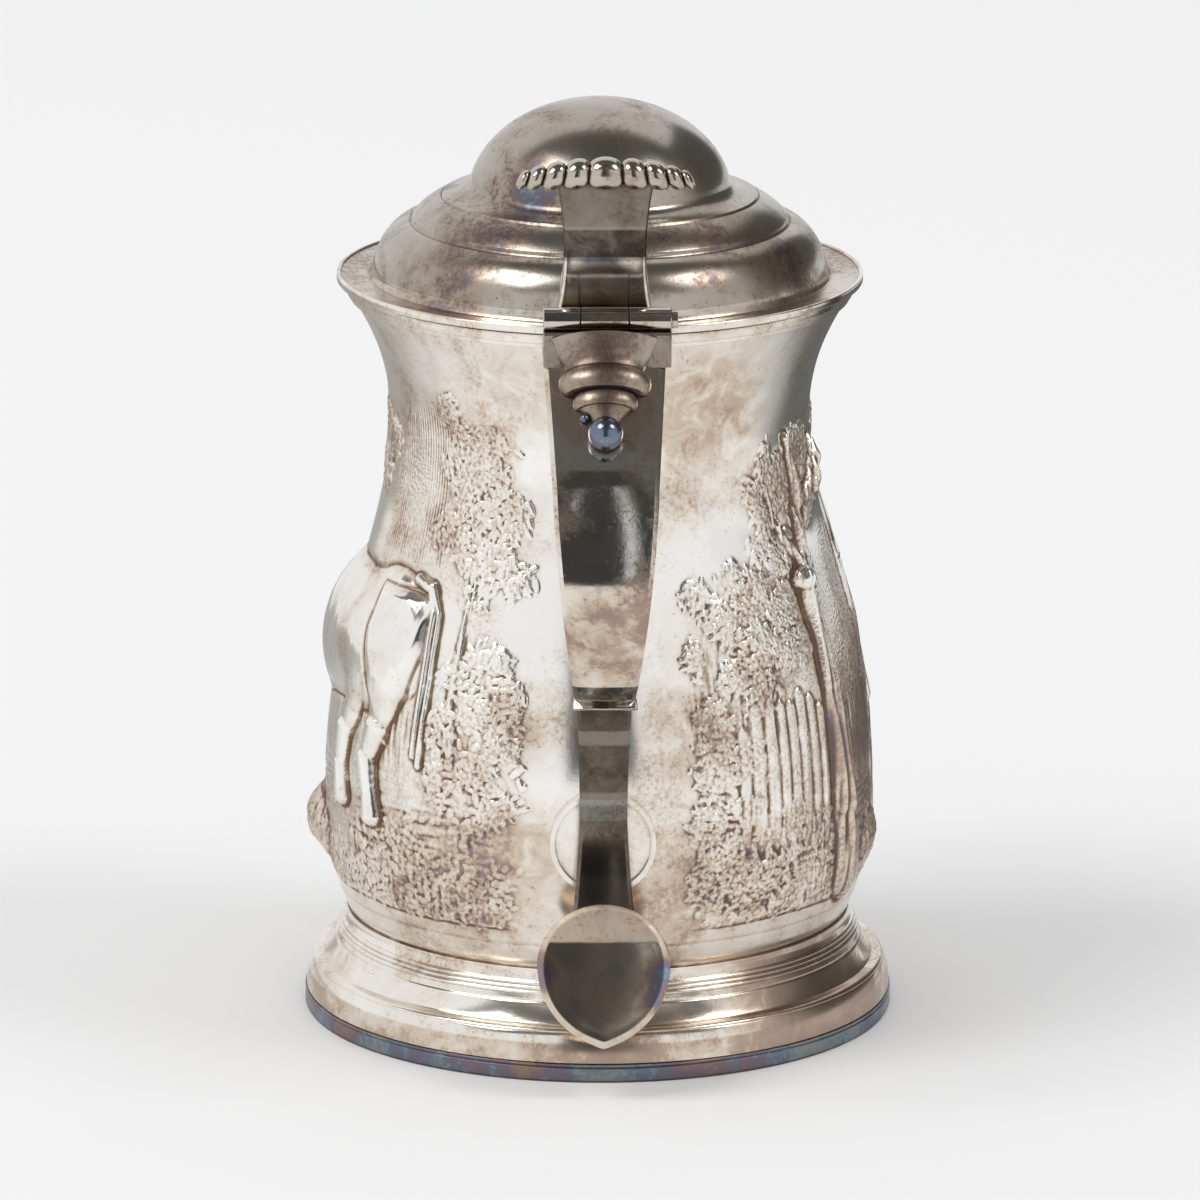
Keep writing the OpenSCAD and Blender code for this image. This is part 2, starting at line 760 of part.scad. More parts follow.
module lid_cover() {
    color(dark_silver)
        rotate_extrude()
            polygon(concat(
                [[lid_r - wire_w, flange_z], [lid_r - wire_w, flange_top]],
                lid_line,
                [for (i = [len(lid_line) - 1 : -1 : 0]) if (lid_line[i][1] - lid_wall > flange_z + eps)
                    [max(0, lid_line[i][0] - lid_wall), lid_line[i][1] - lid_wall]],
                [[ovolo_r - lid_wall, flange_z]]
            ));
}

module lid_edge_wire() {
    color(silver)
        ring(lid_r - wire_w, lid_r, flange_z, flange_top + wire_up);
}

module lid_bezel() {
    outer = mouth_r - body_wall - bezel_gap;
    color(silver)
        ring(outer - bezel_wall, outer, flange_z - bezel_h, flange_z);
}

module lid_hinge_leaf() {
    color(dark_silver)
        difference() {
            union() {
                hinge_bar(knuckle_r, -mid_half, mid_half);
                side_plate(-mid_half, mid_half)
                    polygon([
                        [leaf_outer_d - leaf_lap, flange_top + wire_up],
                        [hinge_d, hinge_z] - leaf_neck,
                        [hinge_d, hinge_z + knuckle_r],
                        [leaf_outer_d - leaf_lap, leaf_top]
                    ]);
                side_plate(-stem_w / 2, stem_w / 2)
                    translate([leaf_inner_d, flange_top])
                        square([leaf_outer_d - leaf_inner_d, leaf_t]);
            }
            ring(lid_r - wire_w, lid_r + far, flange_z, flange_top + wire_up);
            hinge_bar(pin_r + pin_gap, -far / 2, far / 2);
        }
}

// Middle line of the stem's side view: a cubic curve from the leaf up to the crest
function stem_point(t) =
    pow(1 - t, 3) * [stem_foot_d, leaf_top]
    + 3 * t * pow(1 - t, 2) * [stem_foot_d, mix(leaf_top, crest_z, stem_low)]
    + 3 * t * t * (1 - t) * [crest_d - stem_lean, mix(leaf_top, crest_z, stem_high)]
    + pow(t, 3) * [crest_d, crest_z];

module thumb_stem() {
    rise = crest_z - leaf_top;
    line = [for (i = [0 : 2 * curve_steps]) stem_point(i / (2 * curve_steps))];
    widths = [for (i = [-curve_steps : curve_steps]) let(t = i / curve_steps)
        [stem_waist / 2 + (stem_w - stem_waist) / 2 * t * t, leaf_top + rise * (t + 1) / 2]];
    color(dark_silver)
        intersection() {
            side_plate(-stem_w / 2, stem_w / 2)
                polygon(concat(
                    [for (p = line) p + [stem_t / 2, 0]],
                    [for (p = reversed(line)) p - [stem_t / 2, 0]]
                ));
            rotate([90, 0, 0])
                linear_extrude(far)
                    polygon(concat(widths, [for (p = reversed(widths)) [-p[0], p[1]]]));
            translate([-far / 2, -far / 2, 0])
                cube([far, far, crest_cut]);
        }
}

// Radius of a lobe of the crest, its distance from the middle, and where it meets the next one
function lobe_size(i) = lobe_r * pow(lobe_taper, i);
function lobe_x(i) = i == 0 ? 0 : lobe_x(i - 1) + lobe_pitch / 2 * (lobe_size(i - 1) + lobe_size(i));
function lobe_edge(i) = (lobe_x(i) + lobe_x(i + 1)) / 2
    + (pow(lobe_size(i), 2) - pow(lobe_size(i + 1), 2)) / (2 * (lobe_x(i + 1) - lobe_x(i)));

// Stations [distance from the middle, radius] along one half of the crest
crest_half = [for (i = [0 : lobe_count]) for (j = [1 : lobe_steps]) let(
    x0 = i == 0 ? 0 : lobe_edge(i - 1),
    x1 = i == lobe_count ? lobe_x(i) + lobe_end * lobe_size(i) : lobe_edge(i),
    x = mix(x0, x1, j / lobe_steps)
) [x, max(lobe_core, sqrt(max(0, pow(lobe_size(i), 2) - pow(x - lobe_x(i), 2))))]];

// Round section of the crest: it hangs and leans outwards towards the ends, and is flat where it sits
function crest_ring(x, r) = let(
    end = x / lobe_x(lobe_count),
    middle = crest_z - crest_droop * end * end,
    seat = abs(x) < stem_w / 2 + crest_side ? crest_cut : 0
) [for (i = [0 : lobe_sides - 1]) let(a = 360 * i / lobe_sides, z = max(seat, middle + r * sin(a)))
    [x - crest_lean * end * (z - middle) / lobe_r, -crest_d - r * cos(a), z]];

module thumb_crest() {
    stations = concat([for (q = reversed(crest_half)) [-q[0], q[1]]], [[0, lobe_r]], crest_half);
    color(dark_silver)
        skin([for (q = stations) crest_ring(q[0], q[1])], false);
}

body_shell();
lip_band();
foot_ring();
foot_band();
lower_boss();
handle_strap();
handle_gutter();
break_cap();
tail_strap();
tail_gutter();
terminal_plate();
handle_hinge_leaf();
hinge_drop();
drop_ball();
hinge_pin();
lid_cover();
lid_edge_wire();
lid_bezel();
lid_hinge_leaf();
thumb_stem();
thumb_crest();
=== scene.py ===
"""Looks of a lidded silver tankard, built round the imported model.
Lengths are in millimetres until put() makes a piece. The handle is at -Y."""
import math

import bmesh
import bpy
import numpy as np
from mathutils import Matrix, Vector


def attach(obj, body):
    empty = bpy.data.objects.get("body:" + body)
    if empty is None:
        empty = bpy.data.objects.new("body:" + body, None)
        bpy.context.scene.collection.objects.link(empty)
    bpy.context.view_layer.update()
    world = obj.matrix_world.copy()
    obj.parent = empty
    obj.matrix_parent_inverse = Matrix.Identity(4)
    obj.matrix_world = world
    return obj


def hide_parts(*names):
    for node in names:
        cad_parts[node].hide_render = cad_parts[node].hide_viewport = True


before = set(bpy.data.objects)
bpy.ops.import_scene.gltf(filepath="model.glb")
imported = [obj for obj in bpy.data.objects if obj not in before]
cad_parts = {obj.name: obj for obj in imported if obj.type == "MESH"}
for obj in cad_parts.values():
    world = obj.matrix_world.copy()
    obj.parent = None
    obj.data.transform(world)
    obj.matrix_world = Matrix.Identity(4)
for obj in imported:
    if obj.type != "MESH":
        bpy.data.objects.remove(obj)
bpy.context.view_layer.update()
scene = bpy.context.scene
MM = 0.001
rad, sin, cos = np.radians, np.sin, np.cos


# Small tools

def unit(x):
    return np.clip(x, 0, 1)


def mix(a, b, t):
    return a + (b - a) * t


def ease(t):
    return 0.5 - 0.5 * cos(np.pi * unit(t))


def step(a, b, x):
    t = unit((x - a) / (b - a))
    return t * t * (3 - 2 * t)


def circle(n):
    return np.linspace(0, 2 * np.pi, n, endpoint=False)


def mirrored(points):
    return [(-x, y) for x, y in reversed(points)]


def added(name, data):
    ob = bpy.data.objects.new(name, data)
    scene.collection.objects.link(ob)
    return ob


def put(name, verts, faces, body, slot, material, replaces=(), sharp=32, values=None):
    """Makes a smooth-shaded piece from millimetre vertices and faces (an array of quads, or lists)."""
    verts = np.asarray(verts, float).reshape(-1, 3)
    me = bpy.data.meshes.new(name)
    if isinstance(faces, np.ndarray):
        me.vertices.add(len(verts))
        me.vertices.foreach_set("co", (verts * MM).ravel())
        me.loops.add(faces.size)
        me.loops.foreach_set("vertex_index", faces.ravel().astype(np.int32))
        me.polygons.add(len(faces))
        me.polygons.foreach_set("loop_start", np.arange(0, faces.size, faces.shape[1], dtype=np.int32))
        me.update(calc_edges=True)
    else:
        me.from_pydata((verts * MM).tolist(), [], faces)
        bm = bmesh.new()
        bm.from_mesh(me)
        bmesh.ops.remove_doubles(bm, verts=bm.verts, dist=1e-6)
        bmesh.ops.recalc_face_normals(bm, faces=bm.faces)
        bm.to_mesh(me)
        bm.free()
    me.polygons.foreach_set("use_smooth", np.ones(len(me.polygons), bool))
    me.set_sharp_from_angle(angle=math.radians(sharp))
    for key, array in (values or {}).items():
        layer = me.attributes.new(key, "FLOAT", "POINT")
        layer.data.foreach_set("value", np.asarray(array, np.float32).ravel())
    me.materials.append(material)
    ob = added(name, me)
    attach(ob, body)
    if replaces:
        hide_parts(*replaces)


def rounded(points, radius, n=5):
    """Closed outline with its corners rounded; radius is one number or one per point."""
    p = np.asarray(points, float)
    r = np.broadcast_to(radius, len(p))
    out = []
    for i, (q, k) in enumerate(zip(p, r)):
        a, b = p[i - 1] - q, p[(i + 1) % len(p)] - q
        la, lb = np.linalg.norm(a), np.linalg.norm(b)
        if k <= 0 or la < 1e-9 or lb < 1e-9:
            out.append(q)
            continue
        a, b = a / la, b / lb
        half = math.acos(np.clip(a @ b, -1, 1)) / 2
        if half > math.radians(87):
            out.append(q)
            continue
        cut = min(k / math.tan(half), 0.45 * la, 0.45 * lb)
        s, e = q + a * cut, q + b * cut
        for t in np.linspace(0, 1, n):
            out.append((1 - t) ** 2 * s + 2 * t * (1 - t) * q + t * t * e)
    return np.array(out)


def turned(name, outline, body, slot, material, replaces=(), n=360, sharp=32):
    """Piece turned about the vessel's axis from a closed outline of (radius, height)."""
    p = np.asarray(outline, float)
    t = circle(n)
    verts, rows = [], []
    for r, z in p:
        if r < 1e-6:
            rows.append([len(verts)] * n)
            verts.append((0, 0, z))
        else:
            rows.append(list(range(len(verts), len(verts) + n)))
            verts += list(zip(r * sin(t), -r * cos(t), np.full(n, z)))
    faces = []
    for i in range(len(p)):
        a, b = rows[i], rows[(i + 1) % len(p)]
        if a[0] == a[1] and b[0] == b[1]:
            continue
        for j in range(n):
            f = [a[j], a[(j + 1) % n], b[(j + 1) % n], b[j]]
            faces.append(list(dict.fromkeys(f)))
    put(name, verts, faces, body, slot, material, replaces, sharp)


def ring_faces(m, n, start=0):
    """Faces through m closed rings of n points, numbered from start, with both ends closed."""
    def at(i, j):
        return start + i * n + j % n

    sides = [[at(i, j), at(i, j + 1), at(i + 1, j + 1), at(i + 1, j)]
             for i in range(m - 1) for j in range(n)]
    return sides + [[at(0, j) for j in range(n)], [at(m - 1, j) for j in range(n)]]


def skinned(name, rings, body, slot, material, replaces=(), sharp=32):
    """Piece through closed rings of equal length, with both ends closed."""
    r = np.asarray(rings, float)
    put(name, r.reshape(-1, 3), ring_faces(*r.shape[:2]), body, slot, material, replaces, sharp)


# Materials

TARNISH = (  # share of film thickness, colour of silver under it
    (0.00, (0.96, 0.94, 0.905)),
    (0.20, (0.82, 0.755, 0.665)),
    (0.40, (0.63, 0.51, 0.395)),
    (0.53, (0.42, 0.305, 0.245)),
    (0.64, (0.31, 0.22, 0.25)),
    (0.76, (0.22, 0.26, 0.36)),
    (0.88, (0.27, 0.39, 0.44)),
    (1.00, (0.42, 0.41, 0.38)),
)
DIRT = (0.19, 0.115, 0.066, 1)


class Graph:
    """Short hand for the nodes of a material, or of the world."""

    def __init__(self, name, kind=bpy.data.materials):
        self.owner = kind.new(name)
        self.owner.use_nodes = True
        self.tree = self.owner.node_tree
        self.tree.nodes.clear()

    def add(self, kind, inputs=(), **settings):
        n = self.tree.nodes.new("ShaderNode" + kind)
        for k, v in settings.items():
            setattr(n, k, v)
        for k, v in dict(inputs).items():
            if isinstance(v, bpy.types.NodeSocket):
                self.tree.links.new(v, n.inputs[k])
            else:
                n.inputs[k].default_value = v
        return n

    def math(self, operation, a, b=0.0, clamp=False):
        return self.add("Math", {0: a, 1: b}, operation=operation, use_clamp=clamp).outputs[0]

    def times(self, a, b):
        return self.math("MULTIPLY", a, b)

    def total(self, *parts):
        out = parts[0]
        for p in parts[1:]:
            out = self.math("ADD", out, p)
        return out

    def noise(self, vector, scale, detail=3.0, rough=0.55, distortion=0.0):
        n = self.add("TexNoise", {"Vector": vector, "Scale": scale, "Detail": detail,
                                            "Roughness": rough,
                                            "Distortion": distortion})
        return n.outputs["Fac"]

    def span(self, value, a, b, c=0.0, d=1.0):
        n = self.add("MapRange", {"Value": value, "From Min": a, "From Max": b, "To Min": c,
                                            "To Max": d},
                     interpolation_type="SMOOTHSTEP")
        return n.outputs["Result"]

    def ramp(self, value, stops):
        n = self.add("ValToRGB", {"Fac": value})
        e = n.color_ramp.elements
        while len(e) < len(stops):
            e.new(0.5)
        for item, (place, colour) in zip(e, stops):
            item.position = place
            item.color = (*colour, 1)
        return n.outputs["Color"]


def silver(name, film=0.15, drift=0.3, stain=0.3, specks=0.3, crevice=0.45, reach=2.5, rough=0.12, haze=0.5,
           zones=(), bands=(), dull=(), shade=(), most=1.0, relief=False, wave=0.03, level=1.0):
    """Polished silver under an uneven film of tarnish.
    film: mean thickness; drift: its slow change; stain: ragged patches; specks: spots in them;
    crevice: what hollows add within reach; rough: polish; haze: how much the film dulls it;
    zones: patches (x, y, z, radius, amount) in millimetres;
    bands, dull: belts (z, half height, amount) of film and of roughness;
    shade: belts (z, half height, amount) of painted shade, metal greyed where it stands in for dark
    reflections, and of painted light where the amount is negative;
    most: thickest film; relief: whether the piece has the values of the chased relief;
    wave: depth of broad unevenness; level: 1 for bright metal, less for greyer."""
    g = Graph(name)
    place = g.add("TexCoord").outputs["Object"]
    large = g.noise(place, 30, 3, 0.55, 0.4)
    cloud = g.span(g.noise(place, 52, 10, 0.7, 0.35), 0.45, 0.63)
    middle = g.noise(place, 170, 5, 0.62, 0.6)
    small = g.span(g.noise(place, 1000, 4, 0.7), 0.42, 0.68)
    spots = g.span(g.noise(place, 1500, 2, 0.5), 0.63, 0.70)
    patch = g.times(cloud, g.math("ADD", g.times(small, 0.8), 0.45))
    thick = g.total(
        film,
        g.times(g.math("SUBTRACT", large, 0.5), drift),
        g.times(patch, stain),
        g.times(g.times(spots, g.span(middle, 0.42, 0.62)), specks),
    )
    for x, y, z, radius, amount in zones:
        far = g.add("VectorMath", {0: place, 1: (x * MM, y * MM, z * MM)}, operation="DISTANCE")
        near = g.times(g.span(far.outputs["Value"], radius * MM, 0.3 * radius * MM), amount)
        thick = g.math("ADD", thick, g.times(near, g.span(middle, 0.28, 0.6, 0.5, 1.15)))
    height = g.add("SeparateXYZ", {0: place}).outputs["Z"]
    uneven = g.span(middle, 0.28, 0.6, 0.6, 1.1)

    def belts(rows):
        out = 0.0
        for z, half, amount in rows:
            off = g.math("ABSOLUTE", g.math("SUBTRACT", height, z * MM))
            belt = g.times(g.span(off, half * MM, 0.86 * half * MM), amount)
            out = g.math("ADD", g.times(belt, uneven), out)
        return out

    thick = g.math("ADD", thick, belts(bands))
    broad = g.noise(place, 62, 2, 0.5)
    normal = g.add("Bump", {"Strength": 1.0, "Distance": wave * MM, "Height": broad}).outputs["Normal"]
    if relief:
        deep, bare, matt, woody = (g.add("Attribute", attribute_name=key).outputs["Fac"]
                                   for key in ("hollow", "rubbed", "matt", "woody"))
        cells = g.add("TexVoronoi", {"Vector": place, "Scale": 1150.0}).outputs["Distance"]
        gaps = g.times(g.span(cells, 0.42, 0.8), matt)
        thick = g.total(thick, g.times(bare, -0.1), g.times(matt, 0.06),
                        g.times(woody, 0.1), g.times(gaps, 0.26))
        pits = g.times(g.math("SUBTRACT", 1.0, cells), matt)
        pitted = g.add("Bump", {"Strength": 1.0, "Distance": 0.16 * MM, "Height": pits, "Normal": normal})
        normal = pitted.outputs["Normal"]
    else:
        ao = g.add("AmbientOcclusion", {"Distance": reach * MM}, samples=6)
        deep = g.span(g.math("SUBTRACT", 1.0, ao.outputs["AO"]), 0.12, 0.75)
    deep = g.times(deep, g.span(middle, 0.25, 0.6, 0.6, 1.15))
    capped = g.add("Math", {0: thick, 1: most, 2: 0.2}, operation="SMOOTH_MIN").outputs[0]
    uneven_cap = g.times(g.math("SUBTRACT", middle, 0.5), 0.2)
    thick = g.total(capped, uneven_cap, g.times(deep, crevice))
    thick = g.math("MAXIMUM", thick, 0.0, clamp=True)
    colour = g.ramp(thick, TARNISH)
    # the sockets of a colour Mix go by number, because their names repeat for each type
    filled = g.span(deep, 0.3, 1.05, 0.0, 0.85)
    dirt = g.add("Mix", {0: filled, 6: colour, 7: DIRT}, data_type="RGBA")
    # the shade belts grey the metal as painted shade and painted reflection, and lighten it as painted
    # light where their amount is negative
    grey = g.math("SUBTRACT", level, belts(shade)) if shade else level
    paint = g.add("VectorMath", {0: dirt.outputs[2], "Scale": grey}, operation="SCALE").outputs["Vector"]
    gloss = g.total(
        rough,
        g.times(g.span(thick, 0.12, 0.55), 0.22 * haze),
        g.times(g.math("SUBTRACT", middle, 0.5), 0.16 * haze),
        g.times(deep, 0.2),
        belts(dull),
    )
    if relief:
        gloss = g.math("ADD", gloss, g.times(matt, 0.16))
    gloss = g.math("MAXIMUM", gloss, 0.045)
    stretch = g.add("Mapping", {"Vector": place, "Rotation": (0.4, 0.2, 0.7), "Scale": (1, 0.06, 1)})
    lines = g.noise(stretch.outputs["Vector"], 2600, 2, 0.5)
    scratched = g.math("ADD", lines, small)
    fine = g.add("Bump", {"Strength": 0.4, "Distance": 0.005 * MM, "Height": scratched, "Normal": normal})
    shader = g.add("BsdfPrincipled", {"Base Color": paint, "Metallic": 1.0, "Roughness": gloss,
                                      "Normal": fine.outputs["Normal"]})
    g.add("OutputMaterial", {"Surface": shader.outputs["BSDF"]})
    return g.owner


# the thicker film patches at the right side, round (55, -8) and (58, -5), are painted shade on the side
# away from the key lamp, laid over the tarnish
BODY = silver(
    "chased_silver", film=0.02, drift=0.24, specks=0.25, crevice=0.4, rough=0.15, relief=True, wave=0.0,
    most=0.5, bands=((152, 20, 0.1), (32, 24, 0.14)), zones=((24, -45, 138, 24, 0.24),
    (18, -46, 118, 12, 0.12), (16, -52, 75, 16, 0.2), (-17, -44, 148, 14, 0.12), (-15, -50, 75, 14, 0.14),
    (-14, -55, 50, 16, 0.14), (49, -16, 120, 12, 0.12), (51, -25, 70, 26, 0.14), (55, -8, 50, 26, 0.3),
    (58, -5, 75, 22, 0.28), (10, -58, 34, 22, 0.12), (-30, -50, 38, 22, 0.1), (53, -26, 66, 18, 0.1),
    (-24, -44, 92, 24, -0.16), (24, -42, 112, 20, -0.14), (-52, -18, 112, 26, 0.12)))
RIM = silver("rim_silver", film=0.12, crevice=0.5, rough=0.13)
# the thick film patch at the right, round (50, -38), is painted shade and painted dark reflection on that
# side, laid over the tarnish
FOOT = silver(
    "foot_silver", film=0.1, drift=0.4, stain=0.36, rough=0.13, most=0.5, bands=((4.5, 4, 0.2),),
    zones=((0, -62, 5, 30, 0.14), (50, -38, 8, 32, 0.4), (34, -46, 16, 22, 0.2), (-60, -18, 4, 20, 0.16)))
BAND = silver(
    "base_band_silver", film=0.66, drift=0.7, stain=0.5, specks=0.2, crevice=0.1, rough=0.22, level=0.7)
# the shade belt at the brim has a negative amount: it is painted light, a lighter brim than the rest of the
# lid
LID = silver(
    "lid_silver", film=0.2, drift=0.24, stain=0.4, specks=0.4, crevice=0.7, rough=0.19, haze=0.6,
    level=0.56, shade=((162.3, 1.5, -0.26),), zones=((-17, -26, 188, 11, 0.55), (14, -27, 191, 8, 0.55),
    (30, -30, 176, 24, 0.16), (-34, -32, 169, 20, 0.16)))
# the shade belts just above the break are a painted dark reflection across the handle's face
GRIP = silver(
    "handle_silver", film=0.1, drift=0.24, stain=0.46, specks=0.4, crevice=0.4, rough=0.07, haze=0.9,
    level=0.94, most=0.54, zones=((0, -89, 103, 18, 0.3), (0, -66, 150, 18, 0.34), (0, -80, 90, 5, 0.2)),
    shade=((90.2, 1.9, 0.78), (87.2, 1.1, 0.42)))
# the tail's low level and its film and shade belts paint its dark reflections and shade over the tarnish;
# the film belt with a negative amount at 60.5 is a painted light band
TAIL = silver(
    "tail_silver", film=0.26, drift=0.16, specks=0.4, crevice=0.3, rough=0.1, level=0.32, most=0.5,
    bands=((82, 3, 0.1), (70, 6, 0.1), (60.5, 2.5, -0.2)), shade=((82, 3, 0.14), (70, 6, 0.15),
    (54, 8, 0.1)))
BACK = silver("handle_back_silver", film=0.2, stain=0.34, crevice=0.4, rough=0.16, level=0.9)
HINGE = silver(
    "hinge_silver", film=0.3, drift=0.2, stain=0.36, crevice=0.6, reach=1.6, rough=0.26, level=0.56,
    most=0.56)
# the stem's film belts with negative amounts and its shade belts paint the dark bands and the lighter foot
# that reflections make on it: painted reflection and painted light over the tarnish
STEM = silver(
    "thumbpiece_stem_silver", film=0.3, drift=0.2, stain=0.26, specks=0.4, reach=2, level=0.42, most=0.5,
    bands=((174, 4.5, -0.3), (168.5, 2.4, -0.1)), shade=((191, 6, 0.11), (181.5, 3.4, 0.3),
    (171.5, 6.4, -0.5)))
CREST = silver(
    "thumbpiece_crest_silver", film=0.22, drift=0.2, stain=0.26, crevice=0.6, reach=1.6, rough=0.13,
    level=0.7, most=0.5)
PLATE = silver(
    "terminal_silver", film=0.3, drift=0.16, stain=0.2, specks=0.2, crevice=0.1, rough=0.1,
    bands=((39.5, 6, 0.06),), dull=((39.5, 6, 0.4),), zones=((14, -77, 25, 9, 0.45),
    (-14, -75, 28, 7, 0.3)))
KNUCKLE = silver(
    "hinge_barrel_silver", film=0.2, stain=0.36, specks=0.4, crevice=0.6, reach=1.2, level=0.78, most=0.52)
BOSS = silver("boss_silver", film=0.04, stain=0.2, crevice=0.12, rough=0.2)
BALL = silver("drop_ball_silver", film=0.70, stain=0.2, crevice=0.2, rough=0.1, level=0.8)


# Body of the pieces, and a material slot name passed along with it
SHELL, HANDLE, TONED = (("vessel", slot) for slot in ("body_silver", "handle_silver", "toned_silver"))
COVER = ("lid", "lid_silver")


# Body: raised baluster with a chased country scene

MOUTH_Z, MOUTH_R, LIP_Z, LIP_H, LIP_R, WALL = 160.3, 52.9, 157.0, 3.3, 54.4, 0.95
NECK_Z, NECK_R, BELLY_Z, BELLY_R, FOOT_H, JOINT_R = 131.0, 45.0, 49.0, 59.1, 22.0, 54.0


def body_r(z):
    z = np.asarray(z, float)
    low = mix(JOINT_R, BELLY_R, ease(unit((z - FOOT_H) / (BELLY_Z - FOOT_H)) ** 0.48))
    high = mix(BELLY_R, NECK_R, ease(unit((z - BELLY_Z) / (NECK_Z - BELLY_Z)) ** 1.15))
    top = mix(NECK_R, MOUTH_R, unit((z - NECK_Z) / (LIP_Z - NECK_Z)) ** 2.1)
    return np.where(z < BELLY_Z, low, np.where(z < NECK_Z, high, top))


COLS, ROWS = 1680, 520
UNROLL = 52.0
ROUND = 2 * np.pi * UNROLL
ZS = np.linspace(FOOT_H, LIP_Z, ROWS)
DZ, DS = ZS[1] - ZS[0], ROUND / COLS
PHI = -np.pi + 2 * np.pi * np.arange(COLS) / COLS
S, Z = np.meshgrid(PHI * UNROLL, ZS)
WALL_R = body_r(ZS)
WALL_SLOPE = np.gradient(WALL_R, ZS)
OUT_R, OUT_Z = 1 / np.hypot(1, WALL_SLOPE), -WALL_SLOPE / np.hypot(1, WALL_SLOPE)

RELIEF_RISE = 4.8
RELIEF_FORMS = (  # turn from the handle, height and half height as shares of the body's, rise as a share
    (-66, 0.481, 0.104, 0.88), (-92, 0.474, 0.111, 1.0), (-116, 0.467, 0.096, 0.8),
    (-133, 0.378, 0.067, 0.52), (-141, 0.267, 0.052, 0.46), (-92, 0.148, 0.052, 0.36),
    (80, 0.133, 0.052, 0.34), (122, 0.37, 0.081, 0.68), (142, 0.37, 0.081, 0.72),
    (160, 0.363, 0.074, 0.58), (174, 0.267, 0.052, 0.42))


def filtered(a, size_s, size_z):
    kz = np.exp(-2 * (np.pi * size_z / DZ * np.fft.fftfreq(ROWS)) ** 2)[:, None]
    ks = np.exp(-2 * (np.pi * size_s / DS * np.fft.rfftfreq(COLS)) ** 2)[None]
    return np.fft.irfft2(np.fft.rfft2(a) * kz * ks, s=(ROWS, COLS))


def soft(a, size):
    """Array blurred over a size in millimetres."""
    return filtered(a, size, size)


def grain(size_s, size_z, seed):
    """Random field with the given feature sizes in millimetres and unit spread."""
    out = filtered(np.random.default_rng(seed).standard_normal((ROWS, COLS)), size_s, size_z)
    return out / out.std()


def across(s0):
    """Distance round the body from s0, the short way."""
    return (S - s0 + ROUND / 2) % ROUND - ROUND / 2


def limb(points, height):
    """Relief of a tapered, round limb through points (s, z, radius); the result is 0 outside it."""
    out = np.zeros_like(S)
    for (s0, z0, r0), (s1, z1, r1) in zip(points, points[1:]):
        ds, dz, x = s1 - s0, z1 - z0, across(s0)
        t = unit((x * ds + (Z - z0) * dz) / (ds * ds + dz * dz))
        r = r0 + (r1 - r0) * t
        q = ((x - t * ds) ** 2 + (Z - z0 - t * dz) ** 2) / r ** 2
        out = np.maximum(out, height * r / max(r0, r1) * unit(1 - q) ** 0.8)
    return out


def oval(s0, z0, a, b, height, turn=0.0, power=0.5):
    c, d = math.cos(math.radians(turn)), math.sin(math.radians(turn))
    x, y = across(s0) * c + (Z - z0) * d, (Z - z0) * c - across(s0) * d
    return height * unit(1 - (x / a) ** 2 - (y / b) ** 2) ** power


def merged(parts, sharpness=4.0):
    return sum(np.maximum(p, 0) ** sharpness for p in parts) ** (1 / sharpness)


def raised_forms():
    """Height over the wall of the round forms that the body is raised into."""
    base, normal = (np.stack((r * sin(PHI), -r * cos(PHI), np.repeat(z, COLS, 1)), -1)
                    for r, z in ((WALL_R[:, None], ZS[:, None]), (OUT_R[:, None], OUT_Z[:, None])))
    out = []
    for turn, up, tall, share in RELIEF_FORMS:
        z, half, rise = mix(FOOT_H, LIP_Z, up), tall * (LIP_Z - FOOT_H), share * RELIEF_RISE
        r = (half ** 2 + rise ** 2) / (2 * rise)
        slope = float(np.interp(z, ZS, WALL_SLOPE))
        lean = math.atan(-slope)
        d, h = float(body_r(z)) - (r - rise) * math.cos(lean), z - (r - rise) * math.sin(lean)
        v = base - np.array((d * sin(rad(turn)), -d * cos(rad(turn)), h))
        b = (v * normal).sum(-1)
        gap = b ** 2 - (v ** 2).sum(-1) + r ** 2
        top = np.where(gap > 0, -b + np.sqrt(np.maximum(gap, 0)), 0)
        off = np.abs((PHI - rad(turn) + np.pi) % (2 * np.pi) - np.pi)
        out.append(np.where(off < 1.0, np.maximum(top, 0), 0))  # not on the far side of the wall
    return out


DAB_LENGTH = 0.62


